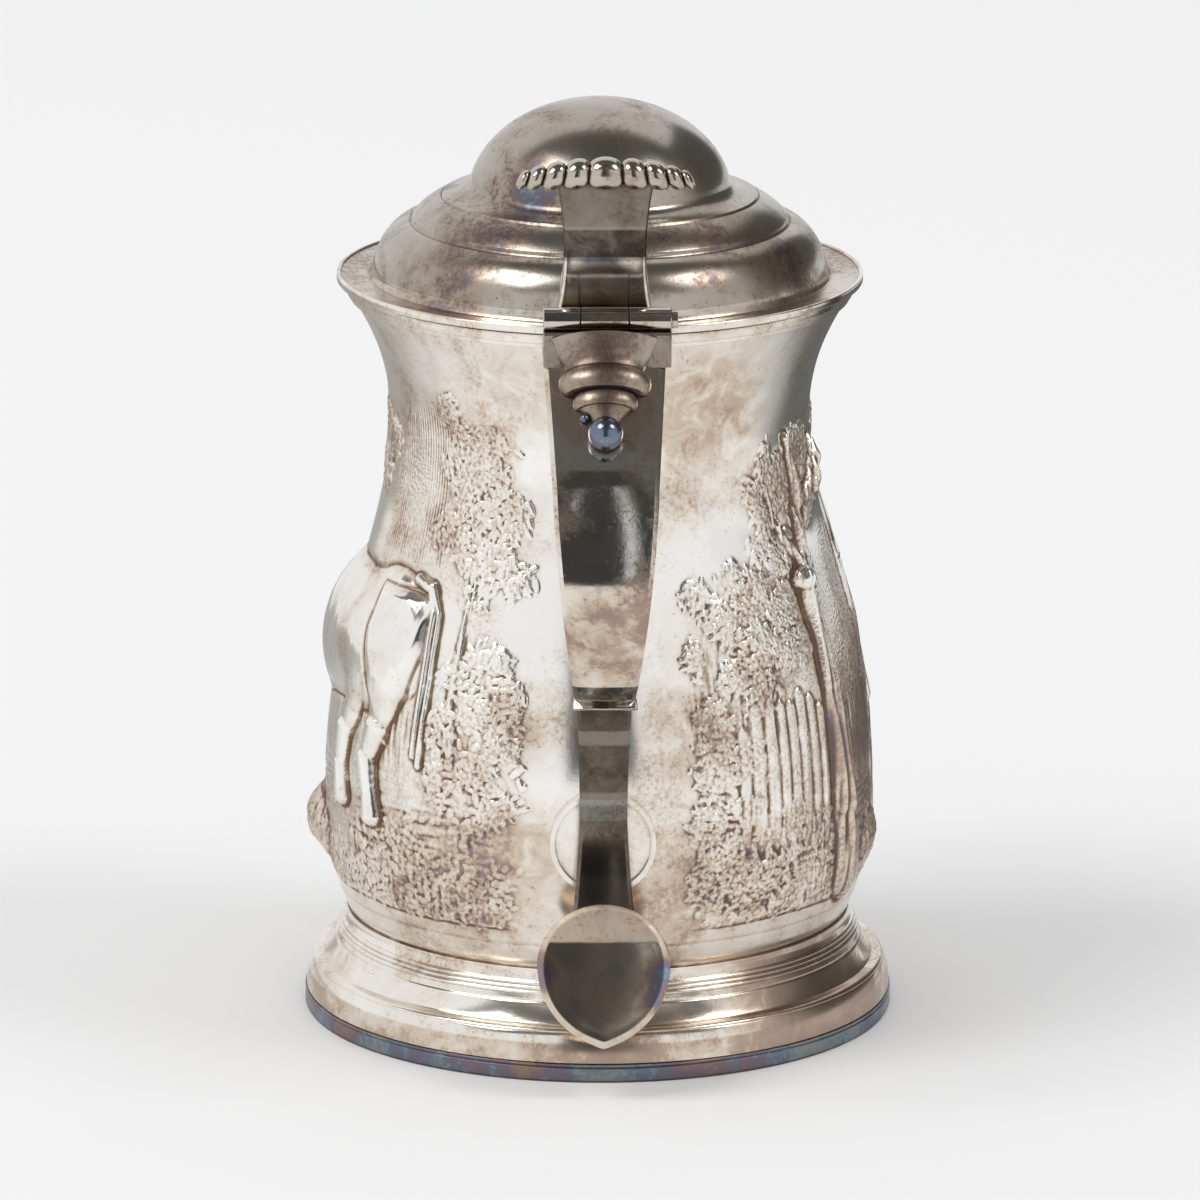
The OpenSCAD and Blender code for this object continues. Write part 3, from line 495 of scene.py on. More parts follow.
def dabs(cell, seed, density, height, length=DAB_LENGTH, width=0.42):
    """Small leaf-like dabs, one in each cell of a jittered grid where the density there allows it."""
    rng = np.random.default_rng(seed)
    cols, rows = int(ROUND / cell), int((LIP_Z - FOOT_H) / cell)
    wide, tall = ROUND / cols, (LIP_Z - FOOT_H) / rows
    shape = (rows, cols)
    shift_s, shift_z = rng.random(shape), rng.random(shape)
    turn = rng.random(shape) * np.pi
    size = 0.75 + 0.5 * rng.random(shape)
    top = 0.5 + 0.5 * rng.random(shape)
    mid_s = (np.arange(cols) + shift_s) * wide - ROUND / 2
    mid_z = FOOT_H + (np.arange(rows)[:, None] + shift_z) * tall
    at_z = np.clip(((mid_z - FOOT_H) / DZ).astype(int), 0, ROWS - 1)
    at_s = ((mid_s + ROUND / 2) / DS).astype(int) % COLS
    top = np.where(density[at_z, at_s] > rng.random(shape), top * height, 0)
    col = ((S + ROUND / 2) / wide).astype(int) % cols
    row = np.clip(((Z - FOOT_H) / tall).astype(int), 0, rows - 1)
    out = np.zeros_like(S)
    for right in (-1, 0, 1):
        for up in (-1, 0, 1):
            inside = (row + up >= 0) & (row + up < rows)
            near = np.clip(row + up, 0, rows - 1), (col + right) % cols
            x, y = across(mid_s[near]), Z - mid_z[near]
            c, d = cos(turn[near]), sin(turn[near])
            k = size[near] * cell
            q = ((x * c + y * d) / (k * length / DAB_LENGTH)) ** 2
            q = q + ((y * c - x * d) / (k * width / DAB_LENGTH)) ** 2
            dome = top[near] * np.sqrt(unit(1 - q))
            out = np.maximum(out, np.where(inside & (q < 1), dome, 0))
    return out


def foliage(clumps, seed):
    """Ragged mass of foliage (0 to 1) from clumps (s, z, radius across, radius up)."""
    mass = np.maximum.reduce([oval(s0, z0, a * 1.3, b * 1.3, 1.0, 0, 0.8) for s0, z0, a, b in clumps])
    return unit(1.5 * mass * (1 + 0.5 * grain(1.7, 1.7, seed)) - 0.22)


def animals():
    """Relief of the two grazing animals, and of the mounds in the ground."""
    forms = raised_forms()
    haunch, barrel, shoulder, neck, head, mound_l, mound_r = forms[:7]
    haunch2, barrel2, shoulder2, head2 = forms[7:]
    back = limb([(-62, 87, 13), (-84, 86, 14.5), (-104, 85, 12.5)], 4.3)
    rump = oval(-53, 88, 13.5, 14.5, 3.3, 0, 0.55)
    trunk = soft(np.maximum.reduce((haunch, barrel, shoulder, back, rump)), 0.9)
    half = np.interp(Z, (70, 78, 90, 99), (2.2, 5.0, 8.0, 8.8))
    sideways = half - np.abs(S - np.interp(Z, (70, 99), (-49, -47)))
    inset = np.minimum.reduce((sideways, 99.5 - Z, Z - 66))  # depth inside the outline of the thigh
    thigh = step(0, 2.4, inset) - 0.34 * np.exp(-((inset + 0.3) / 0.45) ** 2) * step(69, 74, Z)
    first = merged([
        trunk + thigh, neck, head,
        limb([(-49, 79, 5.5), (-50.4, 70, 3.3), (-52.6, 63, 2.5), (-51.4, 56, 2.1), (-50.4, 50.5, 2.6)],
             2.6),
        limb([(-59, 78, 4.8), (-62.5, 67, 2.8), (-63.4, 59, 2.1), (-62, 52, 2.4)], 2.2),
        limb([(-104, 76, 5.5), (-103, 63, 2.8), (-103.6, 53, 2.1), (-102.6, 49.5, 2.5)], 2.5),
        limb([(-110, 75, 5), (-112.4, 64, 2.6), (-111.4, 54, 2.0), (-110.4, 50, 2.3)], 1.7),
        limb([(-108, 92, 9), (-118, 79, 7.5), (-125, 66, 5)], 2.8),
        limb([(-125.5, 66, 4.6), (-129, 57, 3.6), (-129.4, 50.5, 2.5)], 2.7),
        limb([(-121.5, 70, 1.5), (-118.6, 73.4, 1.0)], 3.4),
        limb([(-46, 102, 1.4), (-41.4, 100.6, 1.3), (-39.4, 96, 0.85), (-39.2, 83, 0.75), (-39.6, 66, 0.9)],
             1.0),
        limb([(-41, 101.4, 1.0), (-37.9, 96, 0.65), (-37.6, 83, 0.62), (-38.2, 64, 0.8)], 0.85),
    ])
    back2 = limb([(110, 72, 10.5), (129, 72.5, 10.5), (146, 71.5, 9.5)], 3.2)
    trunk2 = soft(np.maximum.reduce((haunch2, barrel2, shoulder2, back2)), 0.9)
    second = merged([
        trunk2 + oval(107, 70, 6.4, 11.5, 0.5, 8, 0.7), head2,
        limb([(108, 65, 4.4), (105.4, 57, 2.5), (106.4, 47, 1.9), (107.4, 43.6, 2.2)], 2.1),
        limb([(114, 63, 3.6), (113, 54, 2.0), (114, 44, 1.8)], 1.3),
        limb([(144, 63, 4.2), (144.6, 54, 2.2), (144.4, 43.8, 1.9)], 1.9),
        limb([(150, 63, 3.8), (152, 54, 2.0), (151.4, 44.6, 1.8)], 1.3),
        limb([(148, 76, 6.5), (155, 67, 5), (158.6, 59, 3.8)], 2.1),
        limb([(158.4, 59.5, 3.6), (161.6, 51.5, 2.6), (161.2, 47.5, 2.0)], 2.1),
        limb([(107, 81.6, 1.4), (101.4, 81.8, 1.2), (98.6, 77.5, 0.9), (98.2, 68, 0.8), (98.8, 58, 0.9)],
             1.1),
    ])
    bank = oval(-86, 39.5, 13, 8.5, 2.6, 0, 0.8)
    return merged([first, second], 6), merged([mound_l, mound_r]) + bank


def fence():
    """Relief of two runs of uneven pales, each from left to right and low to high."""
    pale = np.zeros_like(S)
    for left, right, low, high, seed in ((27, 51, 43, 80, 1), (74, 97, 41, 64, 2)):
        rng = np.random.default_rng(seed)
        x = left
        while x < right:
            w = 2.4 + 0.9 * rng.random()
            top = high - 5 * rng.random() + 3 * math.sin((x - left) / 6)
            edge = unit(1 - np.abs((S - x - w / 2) / (w / 2)) ** 2) ** 0.7
            tall = step(0, 2.2, top - np.abs(S - x - w / 2) * 0.9 - Z) * step(low - 4, low + 13, Z)
            pale = np.maximum(pale, (0.24 + 0.12 * rng.random()) * edge * tall)
            x += w + 0.25
    return pale * (1 + 0.12 * grain(0.3, 5, 31))


def trees():
    """Relief of trunks and boughs with bark."""
    wood = merged([
        limb([(59, 35, 6), (56, 52, 3.9), (55, 78, 3.2), (53, 101, 3.0), (57, 116, 2.2), (54, 131, 1.2)],
             2.0),
        limb([(57, 112, 1.9), (66, 120, 1.6), (71, 128, 0.9)], 1.6),
        limb([(54, 103, 1.9), (47, 113, 1.2), (44, 122, 0.7)], 1.2),
        limb([(70, 117, 1.7), (74, 123, 2.3), (75, 126, 1.2)], 2.2),
        oval(52.4, 101, 3.4, 2.7, 2.7),
        limb([(-31, 64, 1.5), (-32, 84, 1.1), (-30, 104, 0.8), (-33, 118, 0.5)], 0.34),
        limb([(88, 36, 4), (90, 66, 2.7), (88, 98, 2.2), (92, 124, 1.2)], 1.5),
        limb([(89, 96, 1.6), (99, 108, 1.2), (103, 120, 0.7)], 1.2),
        limb([(-152, 36, 4.4), (-154, 70, 3), (-150, 102, 2.2), (-154, 126, 1)], 1.7),
        limb([(-151, 98, 1.6), (-142, 112, 1.1), (-138, 122, 0.7)], 1.2),
    ])
    bark = grain(0.42, 4.5, 21)
    return wood * (1 + 0.17 * bark) + np.where(wood > 0.2, 0.14 * np.minimum(bark, 0), 0)


FOLIAGE = (  # one list of clumps for each mass: (s, z, radius across, radius up)
    [(-35, 134, 5, 4), (-27, 130, 6, 5), (-38, 125, 7, 5), (-30, 120, 8, 6), (-21, 117, 4, 5),
     (-37, 112, 7, 5), (-27, 108, 7, 5), (-18.5, 104, 3.5, 4), (-41, 139, 3, 3), (-30, 100, 5, 3)],
    [(-24, 88, 5, 3), (-31, 83, 4, 4), (-20, 79, 5, 5), (-27, 75, 7, 5), (-17.5, 70, 4, 5),
     (-34, 72, 4, 4), (-24, 65, 7, 5), (-33, 62, 5, 4), (-17, 60, 3.5, 4), (-26, 56, 6, 4)],
    [(42, 122, 5, 4), (48, 127, 6, 4), (56, 128, 6, 4), (63, 125, 6, 5), (45, 117, 6, 4), (68, 118, 5, 5),
     (51, 120, 6, 4), (42, 110, 5, 4), (61, 115, 5, 4), (47, 107, 5, 4), (54, 111, 4, 4)],
    [(23, 101, 5, 3.5), (30, 104, 5, 3), (36, 99, 7, 5), (27, 94, 7, 5), (20.5, 89, 4, 4), (43, 97, 5, 5),
     (36, 89, 8, 5), (46, 88, 4, 4), (25, 84, 6, 4), (33, 80, 5, 4), (22, 77, 3.5, 3)],
    [(24, 71, 6, 5), (30, 67, 6, 5), (20, 66, 4, 4), (22, 40, 6, 4), (30, 39, 7, 4), (23, 62, 4, 4),
     (20, 54, 3.5, 4), (28, 57, 4, 3), (24, 47, 5, 4), (40, 53, 4, 3), (46, 49, 5, 4), (35, 47, 6, 4)],
    [(83, 128, 7, 5), (93, 132, 8, 5), (102, 124, 7, 5), (87, 118, 7, 5), (96, 114, 6, 5), (78, 120, 5, 4),
     (106, 114, 5, 4)],
    [(84, 80, 6, 5), (77, 76, 4, 4), (92, 84, 5, 4), (88, 72, 6, 4)],
    [(-160, 130, 7, 5), (-150, 134, 8, 5), (-141, 126, 7, 5), (-157, 118, 7, 5), (-146, 115, 6, 5),
     (-134, 119, 5, 4), (161, 121, 5, 4)],
    [(-146, 76, 6, 5), (-152, 70, 5, 4), (-140, 70, 5, 4), (-156, 80, 4, 4)],
    [(-70, 128, 6, 4), (-78, 131, 6, 4), (-86, 127, 6, 5), (-76, 121, 6, 4), (-92, 121, 5, 4)],
    [(122, 112, 6, 4), (130, 116, 7, 5), (139, 111, 6, 4), (131, 106, 6, 4)],
)
HATCHED = (  # where the sky is hatched, as (edge, full) for the left, right, lower and upper side
    ((-66, -60), (-38, -43), (102, 108), (141, 134)),
    ((64, 70), (84, 78), (72, 82), (112, 104)),
    ((-132, -124), (-96, -104), (104, 110), (138, 130)),
    ((104, 114), (160, 148), (90, 104), (138, 126)),
)
MATTED = (  # where fine strokes fill the ground round the animals and hedges, in the same way
    ((-76, -68), (-19, -24), (38, 44), (104, 98)),
    ((16, 20), (78, 70), (38, 44), (108, 100)),
    ((-112, -104), (-66, -70), (40, 44), (78, 72)),
)


def windows(rows):
    """1 inside soft-edged windows on the wall, 0 outside."""
    return np.maximum.reduce([step(*left, S) * step(*right, S) * step(*low, Z) * step(*high, Z)
                              for left, right, low, high in rows])


def chased():
    """Relief of the body's outside in millimetres, and how hollow, rubbed, matt and woody each point is."""
    ragged = grain(4, 6, 3)
    open_ground = step(0, 5, np.abs(S) - 15.5 - 1.6 * ragged)  # fades out behind the handle
    hill = 54 + 5 * np.sin(S / 21 + 1) + 3 * np.sin(S / 9.3) + 2.5 * grain(5, 30, 11)
    patchy = 0.5 + 0.5 * step(-0.6, 0.7, grain(3.5, 2.2, 12) + 0.09 * (44 - Z))
    ground = step(0, 16, hill - Z + 3 * grain(2, 1.4, 14)) * patchy * step(30.4, 32.0, Z) * open_ground

    beasts, mounds = animals()
    wood, pale = trees(), fence()
    solid = np.maximum.reduce((wood, pale, beasts))
    mask = (solid > 0.1).astype(float)
    inside = soft(mask, 0.22)
    leafy = np.maximum.reduce([foliage(group, 200 + n) for n, group in enumerate(FOLIAGE)])
    leafy *= step(14.5, 18, np.abs(S))
    bare_beast = soft((beasts > 0.35).astype(float), 0.3)
    leafy_only = leafy * (1 - bare_beast)

    # low swell under the leaves, then three sizes of dabs
    swell = soft(leafy_only, 1.5) * (0.2 + 0.08 * grain(2.6, 2.6, 13))
    swell = swell + dabs(2.8, 305, 0.7 * leafy_only, 0.2)
    field = np.maximum(mounds, 0.3 * soft(ground, 1.0) * (1 + 0.3 * grain(3, 2, 5)))
    field = np.maximum(field, swell)
    leaves = np.maximum(dabs(1.4, 301, 0.7 * leafy_only, 0.34, 0.7, 0.3),
                        dabs(0.9, 302, 0.95 * leafy_only, 0.27, 0.66, 0.36))
    free = 1 - inside
    turf = np.maximum(dabs(1.2, 303, 0.55 * ground * free, 0.3),
                      dabs(0.85, 304, 0.85 * ground * free, 0.24))
    field = field * free + solid * inside
    field += (leaves + turf) * (1 - 0.85 * soft((pale > 0.1) | (wood > 0.35), 0.2) * (leaves < 0.4))

    # chased outlines, hatched sky and strokes of grass
    rim = soft(mask, 0.75)
    field -= 0.22 * rim * (1 - rim) * 4 * free * (1 - 0.6 * leafy_only)
    hatch = windows(HATCHED)
    lines = np.sin(2 * np.pi * (S + 0.3 * grain(3, 9, 51)) / 1.04)
    field += 0.085 * hatch * lines * free * (1 - leafy) * step(-0.9, 0.4, grain(0.7, 6, 52))
    near = windows(MATTED)
    upright = step(56, 66, Z)
    strokes = upright * grain(0.3, 2.4, 66) + (1 - upright) * grain(1.5, 0.34, 67)
    field += 0.07 * near * strokes * step(-1.1, 0.6, grain(3.2, 4.4, 68)) * free * (1 - leafy)
    blades = np.maximum(grain(0.36, 1.7, 61) + 0.3 * grain(0.36, 0.5, 62), 0) * 0.15
    sparse = 0.75 * step(34, 37, Z) * step(hill + 14, hill - 2, Z) * step(0.1, 0.9, grain(4, 3, 63))
    sparse *= open_ground
    low_grass = np.maximum(ground, sparse)
    field += blades * low_grass * free * (1 - leafy)
    fur = grain(0.3, 1.4, 65)
    field += np.where(beasts > 0.5, 0.012 * fur, 0) + 0.05 * np.where(mounds > 0.2, fur, 0)

    # chased border under the ground, hammered unevenness, and none of it at the rim and the joint
    field -= 0.16 * np.exp(-((Z - 30.8 - 0.2 * np.sin(S / 5)) / 0.35) ** 2) * open_ground
    field -= 0.08 * np.exp(-((Z - 27.6) / 0.4) ** 2)
    field += 0.03 * grain(7, 9, 71) + 0.010 * grain(2.2, 2.6, 72)
    field *= step(23.5, 27, Z) * step(156.5, 150, Z)
    fine, wide = soft(field, 0.5) - field, soft(field, 1.7) - field
    hollow = np.clip(np.maximum(fine, 0) / 0.11 * 0.7 + np.maximum(wide, 0) / 0.45 * 0.5, 0, 1.15)
    hollow *= 1 - 0.3 * soft((beasts > 0.02) | (pale > 0.02), 1.2) * (1 - leafy_only)
    rubbed = unit(np.maximum(-fine, 0) / 0.2 + 0.5 * np.maximum(-wide, 0) / 0.6)
    matt = unit(np.maximum(leafy_only, ground * 0.9) + 0.5 * hatch + 0.4 * near) * (1 - bare_beast)
    woody = soft((wood > 0.3).astype(float), 0.3)
    return field, {"hollow": hollow, "rubbed": rubbed, "matt": soft(matt, 0.6), "woody": woody}


def make_body():
    field, values = chased()
    outside = np.stack((WALL_R[:, None] + field * OUT_R[:, None], ZS[:, None] + field * OUT_Z[:, None]))
    inner_z = np.array([MOUTH_Z - 0.3, *np.linspace(LIP_Z, 30, 60), 26, FOOT_H + 2.2, FOOT_H + WALL])
    inner_r = body_r(np.minimum(inner_z, LIP_Z)) - WALL
    inner_r[-2:] = inner_r[-3] - 0.6, inner_r[-3] - 2.5
    lining = [(MOUTH_R, MOUTH_Z - 0.25), (MOUTH_R - 0.25, MOUTH_Z), (MOUTH_R - WALL + 0.25, MOUTH_Z)]
    lining += list(zip(inner_r, inner_z)) + [(r, FOOT_H + WALL) for r in (30, 10, 0.4)]
    under = [(r, FOOT_H) for r in (0.4, 30, JOINT_R - 0.6)]
    first, last = (np.repeat(np.array(rows, float).T[:, :, None], COLS, 2) for rows in (under, lining))
    r, z = np.concatenate((first, outside, last), 1)
    verts = np.stack((r * sin(PHI), -r * cos(PHI), z), -1)
    i, j = np.meshgrid(np.arange(len(r) - 1), np.arange(COLS), indexing="ij")
    k = (j + 1) % COLS
    quads = np.stack((i * COLS + j, i * COLS + k, (i + 1) * COLS + k, (i + 1) * COLS + j), -1)
    margin = ((len(under), len(lining)), (0, 0))
    put("body", verts, quads.reshape(-1, 4), *SHELL, BODY, ("body_shell",), 60,
        {key: np.pad(value, margin) for key, value in values.items()})


make_body()


# Rim, foot and base band

rim_line = [(MOUTH_R + 0.02, 156.9), (53.5, LIP_Z), (53.75, 157.9), (54.15, 158.1), (LIP_R, 158.9),
            (LIP_R, 160.0), (54.1, MOUTH_Z), (MOUTH_R + 0.02, MOUTH_Z)]
turned("rim_moulding", rounded(rim_line, (0, 0.25, 0.15, 0.15, 0.4, 0.3, 0.2, 0)), *SHELL, RIM,
       ("lip_band",))

BAND_H, TORUS_H, FOOT_R, FILLET_R = 4.0, 7.4, 63.7, 60.3
FILLET_Z = BAND_H + TORUS_H


def foot_outer(z):
    z = np.asarray(z, float)
    up = mix(FILLET_R - 0.6, JOINT_R, unit((z - FILLET_Z) / (FOOT_H - FILLET_Z)) ** 0.85)
    low = FILLET_R + (FOOT_R - 0.3 - FILLET_R) * np.sqrt(unit(1 - ((z - BAND_H) / TORUS_H) ** 2))
    return np.where(z > FILLET_Z, up, low)


def make_foot():
    z = np.concatenate((np.linspace(FOOT_H, FILLET_Z + 0.25, 150),
                        np.linspace(FILLET_Z + 0.2, FILLET_Z - 1.0, 24),
                        FILLET_Z - 1.05 - (TORUS_H - 1.25) * ease(np.linspace(0, 1, 60))))
    r = foot_outer(z)
    for mid in (19.15, 18.25, 17.35):  # fine reeds on the slope
        r = r + 0.42 * np.sqrt(unit(1 - ((z - mid) / 0.44) ** 2)) * (z > FILLET_Z)
    r = r - 0.16 * np.exp(-((z - 15.6) / 0.22) ** 2)
    r = r + 0.38 * np.sqrt(unit(1 - ((z - FILLET_Z + 0.45) / 0.5) ** 2))
    r = r + 0.5 * np.exp(-((z - FOOT_H) / 0.8) ** 2)  # soldered fillet under the body
    outer = list(zip(r, z)) + [(foot_outer(BAND_H + 0.05) - 0.15, BAND_H + 0.02)]
    inner = [(foot_outer(h) - 1.0, h) for h in np.linspace(BAND_H + 0.02, FOOT_H, 40)]
    turned("foot", outer + inner, *SHELL, FOOT, ("foot_ring",), sharp=40)
    band_line = [(61.7, 0), (63.45, 0), (FOOT_R, 0.5), (63.62, 3.0), (63.3, 3.25), (FOOT_R, 3.5),
                 (63.66, 3.98), (61.7, 3.98)]
    turned("base_band", rounded(band_line, (0.2, 0.2, 0.3, 0.12, 0.12, 0.12, 0.15, 0.2)),
           *TONED, BAND, ("foot_band",))


make_foot()


# Lid

LID_R, FLANGE_Z, FLANGE_TOP, LID_WALL = 56.3, 160.6, 161.7, 0.9


def quarter(c, rx, rz, a, b, n=26, bulge=1.0):
    """Part of an ellipse about c; a bulge below 1 flattens it towards its chord."""
    t = rad(np.linspace(a, b, n))
    p = np.column_stack((c[0] + rx * cos(t), c[1] + rz * sin(t)))
    return [tuple(q) for q in mix(np.linspace(p[0], p[-1], n), p, bulge)]


def make_lid():
    ovolo_r, ledge_r, tier_r, crown_r, cove_r, step_z = 48.8, 40.6, 40.1, 33.9, 33.6, 173.4
    tier_z, joint_z, top_z = step_z + 5.3, step_z + 9.0, step_z + 26.1
    dome_r, dome_z = 28.4, step_z + 4.4  # the dome is the upper part of an ellipse
    inside_wire = LID_R - 0.9
    brim = [(inside_wire, FLANGE_TOP + 0.15), (LID_R - 1.6, FLANGE_TOP + 0.06)]
    brim += [(r, FLANGE_TOP) for r in (53.5, 51, 49.4)]
    curve = (quarter((ledge_r, FLANGE_TOP), ovolo_r - ledge_r, step_z - FLANGE_TOP, 4, 88, bulge=0.84)
             + [(ledge_r, step_z - 0.12), (40.35, step_z + 0.1), (40.2, step_z + 0.45)]
             + quarter((crown_r, step_z + 0.5), tier_r - crown_r, 4.8, 6, 88, bulge=0.3)
             + [(33.95, tier_z - 0.1), (33.8, tier_z + 0.1), (cove_r, tier_z + 0.45)]
             + quarter((cove_r, joint_z), dome_r - 34.25, tier_z + 0.45 - joint_z, 90, 8)
             + quarter((0, dome_z), dome_r, top_z - dome_z, 13, 89.5, 60) + [(0, top_z)])
    lining = [(max(0, r - LID_WALL), z - LID_WALL) for r, z in reversed(curve)]
    under = [(r, z) for r, z in lining if z > FLANGE_Z + 0.05] + [(47.9, FLANGE_Z), (inside_wire, FLANGE_Z)]
    turned("lid", brim + curve + under, *COVER, LID, ("lid_cover",), n=320, sharp=40)
    wire_top = FLANGE_TOP + 0.6
    wire_line = [(inside_wire, FLANGE_Z), (LID_R, FLANGE_Z), (LID_R, wire_top), (inside_wire, wire_top)]
    turned("lid_wire", rounded(wire_line, (0.05, 0.35, 0.42, 0.42)), *COVER, RIM, ("lid_edge_wire",))


make_lid()


# Handle: path, face, back, break, tail and terminal

SHOULDER, SHOULDER_TURN, SLOPE, BREAK_TURN = (51.6, 159.8), 16, 45.966, 135
SHOULDER_R, STRAIGHT, UPPER_R, LOWER_R, TAIL_R = 16.0, 24.0, 36.0, 36.0, 41.0
STRAP_T, GRIP_W, GRIP_END_W = 1.2, 26, 12.6


def arc(p, a, b, r, n):
    """Stations (distance from the axis, height, direction in degrees) on an arc from p."""
    t = np.linspace(a, b, n + 1)
    d, z = sin(rad(t)) - sin(rad(a)), cos(rad(t)) - cos(rad(a))
    return np.column_stack((p[0] + r * d, p[1] + r * z, t))


def along(a):
    return np.array((cos(rad(a)), -sin(rad(a))))


def outward(a):
    return np.array((sin(rad(a)), cos(rad(a))))


start_turn = rad(SHOULDER_TURN)
shoulder_start = np.array(SHOULDER) + SHOULDER_R * np.array((sin(start_turn), cos(start_turn) - 1))
shoulder_arc = arc(shoulder_start, SHOULDER_TURN, SLOPE, SHOULDER_R, 20)
run_start = shoulder_arc[-1, :2]
run_end = run_start + STRAIGHT * along(SLOPE)
run = np.column_stack((np.linspace(run_start, run_end, 14), np.full(14, SLOPE)))
upper_arc = arc(run_end, SLOPE, 90, UPPER_R, 36)
lower_arc = arc(upper_arc[-1, :2], 90, BREAK_TURN, LOWER_R, 36)
grip_path = np.vstack((shoulder_arc, run[1:-1], upper_arc, lower_arc[1:]))
break_at = lower_arc[-1, :2]
tail_start = break_at + along(BREAK_TURN) - 1.5 * outward(BREAK_TURN)
tail_arc = arc(tail_start, BREAK_TURN, 40, -TAIL_R, 90)


def grip_w(z):
    t = (SHOULDER[1] - z) / (SHOULDER[1] - break_at[1])
    bend, share = 0.35, 0.29  # it narrows little down to the bend
    low = mix(share, 1, unit((t - bend) / (1 - bend)) ** 1.35)
    return mix(GRIP_W, GRIP_END_W, np.where(t < bend, share * t / bend, low))


def grip_depth(z):
    return mix(9, 5.6, (SHOULDER[1] - z) / (SHOULDER[1] - break_at[1]))


def tail_w(a):
    waist, top, end = 10, 11.8, 16.5
    upper = mix(waist, top, unit((a - 90) / (BREAK_TURN - 90)) ** 1.5)
    lower = mix(waist, end, unit((90 - a) / 50) ** 1.4)
    return np.where(a > 90, upper, lower)


def tail_depth(a):
    return np.where(a > 90, mix(5, 3.8, (a - 90) / (BREAK_TURN - 90)), 5.0)


def placed(station, section):
    d, z, a = station
    q = np.asarray(section)
    return np.column_stack((q[:, 0], -d - q[:, 1] * sin(rad(a)), z + q[:, 1] * cos(rad(a))))


def edged(x, y, edge):
    """Section with a face through x and y and the same edge at both sides."""
    return mirrored(edge) + list(zip(x, y)) + edge


def strap_section(w, crown=0.45, bevel=0.95, drop=0.62):
    x = np.linspace(-(w / 2 - bevel), w / 2 - bevel, 25)
    edge = [(w / 2 - 0.14, -drop - crown + 0.06), (w / 2, -drop - crown - 0.1), (w / 2, -STRAP_T)]
    return edged(x, -crown * (2 * x / w) ** 2, edge)


def back_section(w, h, n=32):
    t = np.linspace(0, np.pi, n)
    return list(zip(-w / 2 * cos(t), -STRAP_T - h * sin(t)))


def seat(ring):
    """First ring of the handle moved level onto the vessel."""
    ring = np.array(ring)
    t = unit((ring[:, 2] - LIP_Z) / LIP_H + 1)
    r = mix(body_r(np.minimum(ring[:, 2], LIP_Z)), LIP_R, t) + 0.03
    ring[:, 1] = -np.sqrt(r ** 2 - ring[:, 0] ** 2)
    return ring


def make_handle():
    face = [placed(s, strap_section(float(grip_w(s[1])))) for s in grip_path]
    skinned("handle_face", [seat(face[0])] + face, *HANDLE, GRIP, ("handle_strap",), 24)
    back = [placed(s, back_section(float(grip_w(s[1])) - 0.6, float(grip_depth(s[1])))) for s in grip_path]
    skinned("handle_back", [seat(back[0])] + back, *HANDLE, BACK, ("handle_gutter",), 30)

    w, h = GRIP_END_W / 2 + 0.45, 6.8
    t = np.linspace(0, np.pi, 40)
    plate = np.array([(w, 0.9), (0.6 * w, 1.0), (0, 1.05), (-0.6 * w, 1.0), (-w, 0.9)]
                     + list(zip(-w * cos(t), -h * sin(t))))
    rings = []
    for depth, inset in ((0, 0.35), (0.15, 0.1), (0.35, 0), (0.7, 0), (0.88, 0.12), (1.0, 0.4)):
        p = break_at + depth * along(BREAK_TURN)
        small = plate * (1 - inset / np.array((w, 5)))
        rings.append(placed((*p, BREAK_TURN), small))
    skinned("break_plate", rings, *HANDLE, GRIP, ("break_cap",), 40)

    tail_end = 37.7  # the tail ends in the back of the terminal
    stations = [s for s in tail_arc if s[1] > tail_end]
    face = [placed(s, strap_section(float(tail_w(s[2])), 0.3, 0.8, 0.5)) for s in stations]
    skinned("tail_face", face, *HANDLE, TAIL, ("tail_strap",), 24)
    back = [placed(s, back_section(float(tail_w(s[2])) - 0.6, float(tail_depth(s[2])))) for s in stations]
    skinned("tail_back", back, *HANDLE, BACK, ("tail_gutter",), 30)


make_handle()


def make_terminal():
    w, top, length, tip = 14.0, 12.7, 30.5, rad(66.5)
    low = length - top
    r = (low - w / np.tan(tip)) / (sin(tip) - (1 - cos(tip)) / np.tan(tip))
    a = rad(np.linspace(-90, 0, 30))
    half = list(zip(w * cos(a), top + top * sin(a)))
    b = np.linspace(0, tip, 30)[1:]
    half += list(zip(w - r * (1 - cos(b)), top + r * sin(b)))
    half += [(3, length - 3 / np.tan(tip)), (1, length - 1 / np.tan(tip)), (0.25, length - 0.2)]
    outline = np.array(half + mirrored(half))[1:-1]
    middle = np.array((0, length / 2 - 1))
    plate_z, plate_turn = 41.5, rad(76)
    end = np.arccos(cos(rad(BREAK_TURN)) + (tail_start[1] - plate_z) / TAIL_R)
    plate_d = tail_start[0] - TAIL_R * (sin(end) - sin(rad(BREAK_TURN))) + 2
    profile = ((1.2, -2.0), (0.2, -1.9), (0, -1.6), (0, -1.0), (0.15, -0.8), (0.9, -0.32), (1.25, -0.2),
               (1.7, -0.22), (3, -0.1), (6, 0.0), (9, 0.04), (12, 0.05))
    rings = []
    for inset, lift in profile:
        scale = 1 - inset / np.array((w, length / 2))
        x, y = ((outline - middle) * scale + middle).T
        back = plate_d + y * cos(plate_turn) + lift * sin(plate_turn)
        rings.append(np.column_stack((x, -back, plate_z - y * sin(plate_turn) + lift * cos(plate_turn))))
    skinned("terminal", rings, *TONED, PLATE, ("terminal_plate",), 30)


make_terminal()


# Hinge, its drop and beads, and the thumbpiece

HINGE_D, HINGE_Z, KNUCKLE_R, BLOCK_FRONT = 60.0, 165.0, 2.5, 62.4
LEFT_SPAN, RIGHT_SPAN = (-12.8, -5.1), (5.1, 13.9)  # the outer knuckles, along the pin


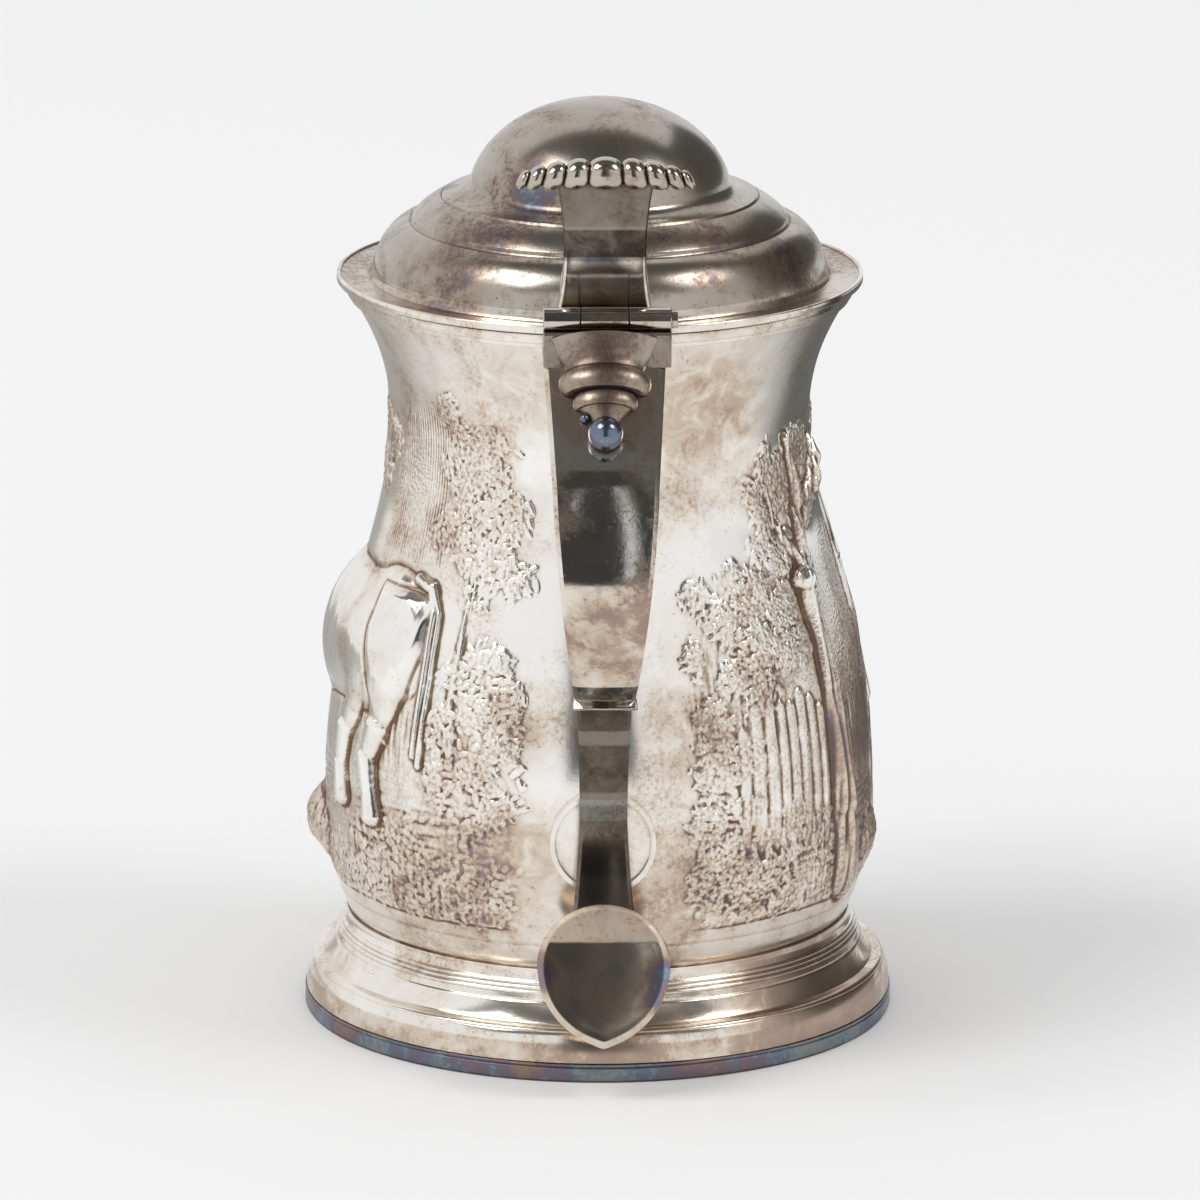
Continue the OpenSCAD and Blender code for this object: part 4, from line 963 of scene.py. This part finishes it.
def make_drop():
    s = np.concatenate((np.linspace(-5, 1, 24), np.linspace(1.02, 6.4, 24),
                        np.linspace(6.42, 10, 20), np.linspace(10.05, 14.6, 20)))
    w = np.empty_like(s)
    for i, t in enumerate(s):
        if t <= 1:  # apron under the hinge
            w[i] = mix(13.2, 8.2, math.sin(math.pi / 2 * (t + 5) / 6))
        elif t <= 6.4:  # large ring
            w[i] = 8.2 + 1.45 * math.sin(math.pi * (t - 1) / 5.4) ** 0.7
        elif t <= 10:  # small ring
            w[i] = 6.0 + 0.75 * math.sin(math.pi * (t - 6.4) / 3.6) ** 0.6
        else:  # taper to the ball
            w[i] = mix(5.4, 2.3, math.sin(math.pi / 2 * (t - 10) / 4.6))
    rings = []
    for k, half in zip(s, w):
        p = run_start + k * along(SLOPE)
        lift = half * 0.57
        low = max(-0.02, (BLOCK_FRONT + 0.22 - p[0]) / sin(rad(SLOPE)))  # it stops at the hinge block
        if low < 0.98 * lift:
            cut = math.asin(max(0, low) / lift)
            t = np.linspace(cut, np.pi - cut, 48)
            section = np.column_stack((-half * cos(t), np.maximum(lift * sin(t), low)))
            rings.append(placed((*p, SLOPE), section))
    skinned("drop", rings, *HANDLE, HINGE, ("hinge_drop",), 34)


make_drop()


def bead(name, x, down, out, r, replaces, n):
    """Ball of radius r on the handle's face, at a place down its slope and out from it."""
    d, z = run_start + down * along(SLOPE) + out * outward(SLOPE)
    t, f = np.meshgrid(np.linspace(0.02, np.pi - 0.02, n // 2), circle(n), indexing="ij")
    rings = np.stack((r * sin(t) * cos(f), r * sin(t) * sin(f), r * cos(t)), -1) + np.array((x, -d, z))
    skinned(name, rings, *TONED, BALL, replaces)


def bar(outline, x0, x1, inset=0.2):
    """Rings of a bar along X with bevelled ends, from a closed outline of (distance, height)."""
    p = np.asarray(outline, float)
    middle = p.mean(0)
    small = middle + (p - middle) * (1 - inset / np.abs(p - middle).max(0))
    stations = ((x0, small), (x0 + inset, p), (x1 - inset, p), (x1, small))
    return np.array([[(x, -d, z) for d, z in q] for x, q in stations])


def make_hinge():
    t = circle(48)
    knuckle = np.column_stack((HINGE_D + KNUCKLE_R * cos(t), HINGE_Z + KNUCKLE_R * sin(t)))
    back, front, under, sunk = 57.6, BLOCK_FRONT, HINGE_Z - KNUCKLE_R, 0.4
    d, z = shoulder_arc[:, 0], shoulder_arc[:, 1]
    seat_line = shoulder_arc[(d > back) & (d < front), :2] - (0, sunk)
    low = np.vstack((seat_line, (front, np.interp(front, d, z) - sunk)))
    cheek = np.vstack((low, (front, under - 0.5), (front - 0.4, under + 0.05), (HINGE_D, under + 0.3),
                       (back, HINGE_Z - 0.5)))
    apron = np.vstack((low[low[:, 0] > 60.6], (front, under - 0.7), (front - 0.4, under - 0.25),
                       (60.7, under - 0.25)))
    verts, faces = [], []
    skinned("hinge_knuckle_left", bar(knuckle, *LEFT_SPAN), *HANDLE, KNUCKLE)
    skinned("hinge_knuckle_right", bar(knuckle, *RIGHT_SPAN), *HANDLE, KNUCKLE)
    for rings in (bar(cheek, *LEFT_SPAN), bar(cheek, *RIGHT_SPAN), bar(apron, -5.2, 5.2, 0.05)):
        faces += ring_faces(*rings.shape[:2], sum(map(len, verts)))
        verts.append(rings.reshape(-1, 3))
    put("hinge_block", np.vstack(verts), faces, *HANDLE, HINGE, ("handle_hinge_leaf",), 30)


make_hinge()

bead("drop_bead", 0, 16.8, 2.3, 3.65, ("drop_ball",), 64)
bead("drop_pellet", -4.3, 12.2, 0.7, 0.95, (), 32)

LEAF_TOP, CREST_D, CREST_Z = 163.2, 64.6, 196.9


def make_thumbpiece():
    foot_d = 54.9
    ctrl = np.array(((foot_d, LEAF_TOP), (foot_d, mix(LEAF_TOP, CREST_Z, 0.34)),
                     (CREST_D - 1.5, mix(LEAF_TOP, CREST_Z, 0.4)), (CREST_D, CREST_Z)))
    rings = []
    for t in np.linspace(0, 0.965, 70):
        b = np.array(((1 - t) ** 3, 3 * t * (1 - t) ** 2, 3 * t * t * (1 - t), t ** 3))
        db = np.array((-3 * (1 - t) ** 2, 3 * (1 - t) ** 2 - 6 * t * (1 - t),
                       6 * t * (1 - t) - 3 * t * t, 3 * t * t))
        p, v = b @ ctrl, db @ ctrl
        n = np.array((v[1], -v[0])) / np.hypot(*v)  # outwards, towards the handle
        u = 2 * (p[1] - LEAF_TOP) / (CREST_Z - LEAF_TOP) - 1
        half = 8.6 + 1.9 * u * u
        x = np.linspace(-half + 1.1, half - 1.1, 15)
        edge = [(half - 0.75, 0.86), (half - 0.3, 0.5), (half, -0.1), (half, -0.9)]
        section = edged(x, 0.72 + 0.12 * (x / half) ** 2, edge)
        rings.append([(x, -(p[0] + h * n[0]), p[1] + h * n[1]) for x, h in section])
    rings = np.array(rings)
    rings[0, :, 2] = LEAF_TOP + 0.01
    skinned("thumb_stem_plate", rings, *COVER, STEM, ("thumb_stem",), 30)

    wide = (3.45, 5.0, 4.3, 3.3, 2.2)  # half the middle lobe, then those to each end
    high = (3.5, 3.3, 3.0, 2.6, 2.0)
    half, x0 = [], 0.0
    for i, (w, r) in enumerate(zip(wide, high)):
        for q in np.sin(np.linspace(0 if i == 0 else -np.pi / 2, np.pi / 2, 26))[1:]:
            x = x0 + (q * w if i == 0 else (q + 1) / 2 * w)
            drop = (0.5 if i < 4 or q < 0 else 1.0) * (1 - math.sqrt(max(0, 1 - 0.98 * q * q)))
            half.append((x, r * (1 - drop)))
        x0 += w
    line = mirrored(half) + [(0, high[0])] + half
    t = circle(56)
    rings = []
    for x, r in line:
        end = x / x0
        mid = CREST_Z - 1.5 * end * end
        z = mid + r * sin(t)
        rings.append(np.column_stack((x - 1.3 * end * (z - mid) / 3.4, -CREST_D - r * cos(t), z)))
    skinned("thumb_crest_roll", rings, *COVER, CREST, ("thumb_crest",), 60)


make_thumbpiece()


# CAD pieces that stay

for node, material in (("lower_boss", BOSS), ("hinge_pin", KNUCKLE), ("lid_bezel", LID),
                       ("lid_hinge_leaf", KNUCKLE)):
    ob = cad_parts[node]
    ob.data.materials.clear()
    ob.data.materials.append(material)


# Stage: floor, soft light, flags that only reflections see, camera

def glow(name, colour, strength=1.0):
    g = Graph(name)
    shader = g.add("Emission", {"Color": (*colour, 1), "Strength": strength}).outputs[0]
    g.add("OutputMaterial", {"Surface": shader})
    return g.owner


def fading(name, near, far, start, end, kind="Emission"):
    """Glow, or paint, that changes from near to far along Y, from start to end in metres."""
    g = Graph(name)
    back = g.add("SeparateXYZ", {0: g.add("TexCoord").outputs["Object"]}).outputs["Y"]
    colour = g.ramp(g.span(back, start, end), ((0.0, near), (1.0, far)))
    g.add("OutputMaterial", {"Surface": g.add(kind, {"Color": colour}).outputs[0]})
    return g.owner


def panel(name, x, y, z, material, seen=False):
    """Flat card in metres: two of x, y and z are (from, to), and the third is its one place."""
    spans = [v if isinstance(v, tuple) else (v,) for v in (x, y, z)]
    corners = []
    for first, second in ((0, 0), (1, 0), (1, 1), (0, 1)):
        picks = [first, second]
        corners.append([v[picks.pop(0)] if len(v) == 2 else v[0] for v in spans])
    me = bpy.data.meshes.new(name)
    me.from_pydata(corners, [], [[0, 1, 2, 3]])
    me.materials.append(material)
    ob = added(name, me)
    if not seen:
        ob.visible_camera = ob.visible_diffuse = ob.visible_shadow = ob.visible_transmission = False


# the paper is a little paler towards the back, where the lamps are farther away
PAPER = fading("floor_paper", (0.82, 0.82, 0.825), (0.905, 0.905, 0.91), -0.3, 1.5, "BsdfDiffuse")
panel("floor", (-5, 5), (-5, 5), 0, PAPER, True)
DARK = glow("dark_room", (0.05, 0.05, 0.05))
DIM = glow("dim_ceiling", (0.13, 0.13, 0.125))
SHADE_RIGHT = fading("shade_right", (0.84, 0.84, 0.84), (0.14, 0.14, 0.135), -0.06, 0.22)
SHADE_LEFT = fading("shade_left", (0.84, 0.84, 0.84), (0.42, 0.41, 0.4), -0.06, 0.26)
ROOM_RIGHT = fading("room_right", (0.8, 0.8, 0.8), (0.12, 0.12, 0.115), -1.1, 0.7)
PALE = glow("pale_window", (0.8, 0.82, 0.84), 0.75)
panel("ceiling", (-5, 5), (-5, 2.0), 4.4, DIM)
panel("right_side", 3.2, (-2.0, 8.0), (0.3, 4.4), ROOM_RIGHT)
panel("right_card", 0.21, (0.045, 0.11), (0.1, 0.18), DARK)
panel("right_floor_card", (0.1, 0.8), (-0.06, 0.8), 0.002, SHADE_RIGHT)
panel("left_floor_card", (-0.8, -0.1), (-0.06, 0.8), 0.002, SHADE_LEFT)
panel("front_flag", (-0.24, 0.24), -0.95, (0.02, 3.0), DARK)
panel("window_right", (0.081, 0.124), -0.93, (0.06, 1.7), PALE)
panel("window_left", (-0.118, -0.1), -0.93, (0.7, 1.6), PALE)


def lamp(name, at, size, power):
    light = bpy.data.lights.new(name, "AREA")
    light.shape, light.size, light.size_y, light.energy = "RECTANGLE", size[0], size[1], power
    ob = added(name, light)
    ob.location = at
    ob.rotation_euler = (Vector((0, 0, 0.1)) - Vector(at)).to_track_quat("-Z", "Y").to_euler()


lamp("key_left", (-1.95, -0.93, 2.97), (1.7, 1.36), 46)
lamp("fill_right", (2.04, -0.85, 2.72), (1.02, 1.02), 22)

# pale where it is seen or reflected, white and weaker as light
studio = Graph("studio", bpy.data.worlds)
scene.world = studio.owner
ray = studio.add("LightPath").outputs
any_seen = ray["Is Camera Ray"]
for key in ("Is Glossy Ray", "Is Transmission Ray"):
    any_seen = studio.math("MAXIMUM", any_seen, ray[key])
backdrop = studio.add("Background", {"Color": (0.87, 0.87, 0.875, 1)}).outputs[0]
ambient = studio.add("Background", {"Color": (1, 1, 1, 1), "Strength": 0.7}).outputs[0]
pick = studio.add("MixShader", {0: any_seen, 1: ambient, 2: backdrop}).outputs[0]
studio.add("OutputWorld", {"Surface": pick})

CAMERA_BACK, CAMERA_UP = 2.026, 0.610
turn, tilt, roll = math.radians(1.0), math.radians(90 - 14.414), math.radians(0.178)
lens = bpy.data.cameras.new("camera")
lens.sensor_width, lens.lens, lens.shift_x, lens.clip_end = 36.0, 290.7, 0.001, 30
camera = added("camera", lens)
camera.matrix_world = (
    Matrix.Translation((-CAMERA_BACK * math.sin(turn), -CAMERA_BACK * math.cos(turn), CAMERA_UP))
    @ Matrix.Rotation(-turn, 4, "Z") @ Matrix.Rotation(tilt, 4, "X") @ Matrix.Rotation(roll, 4, "Z"))
scene.camera = camera
scene.view_settings.view_transform = "Standard"
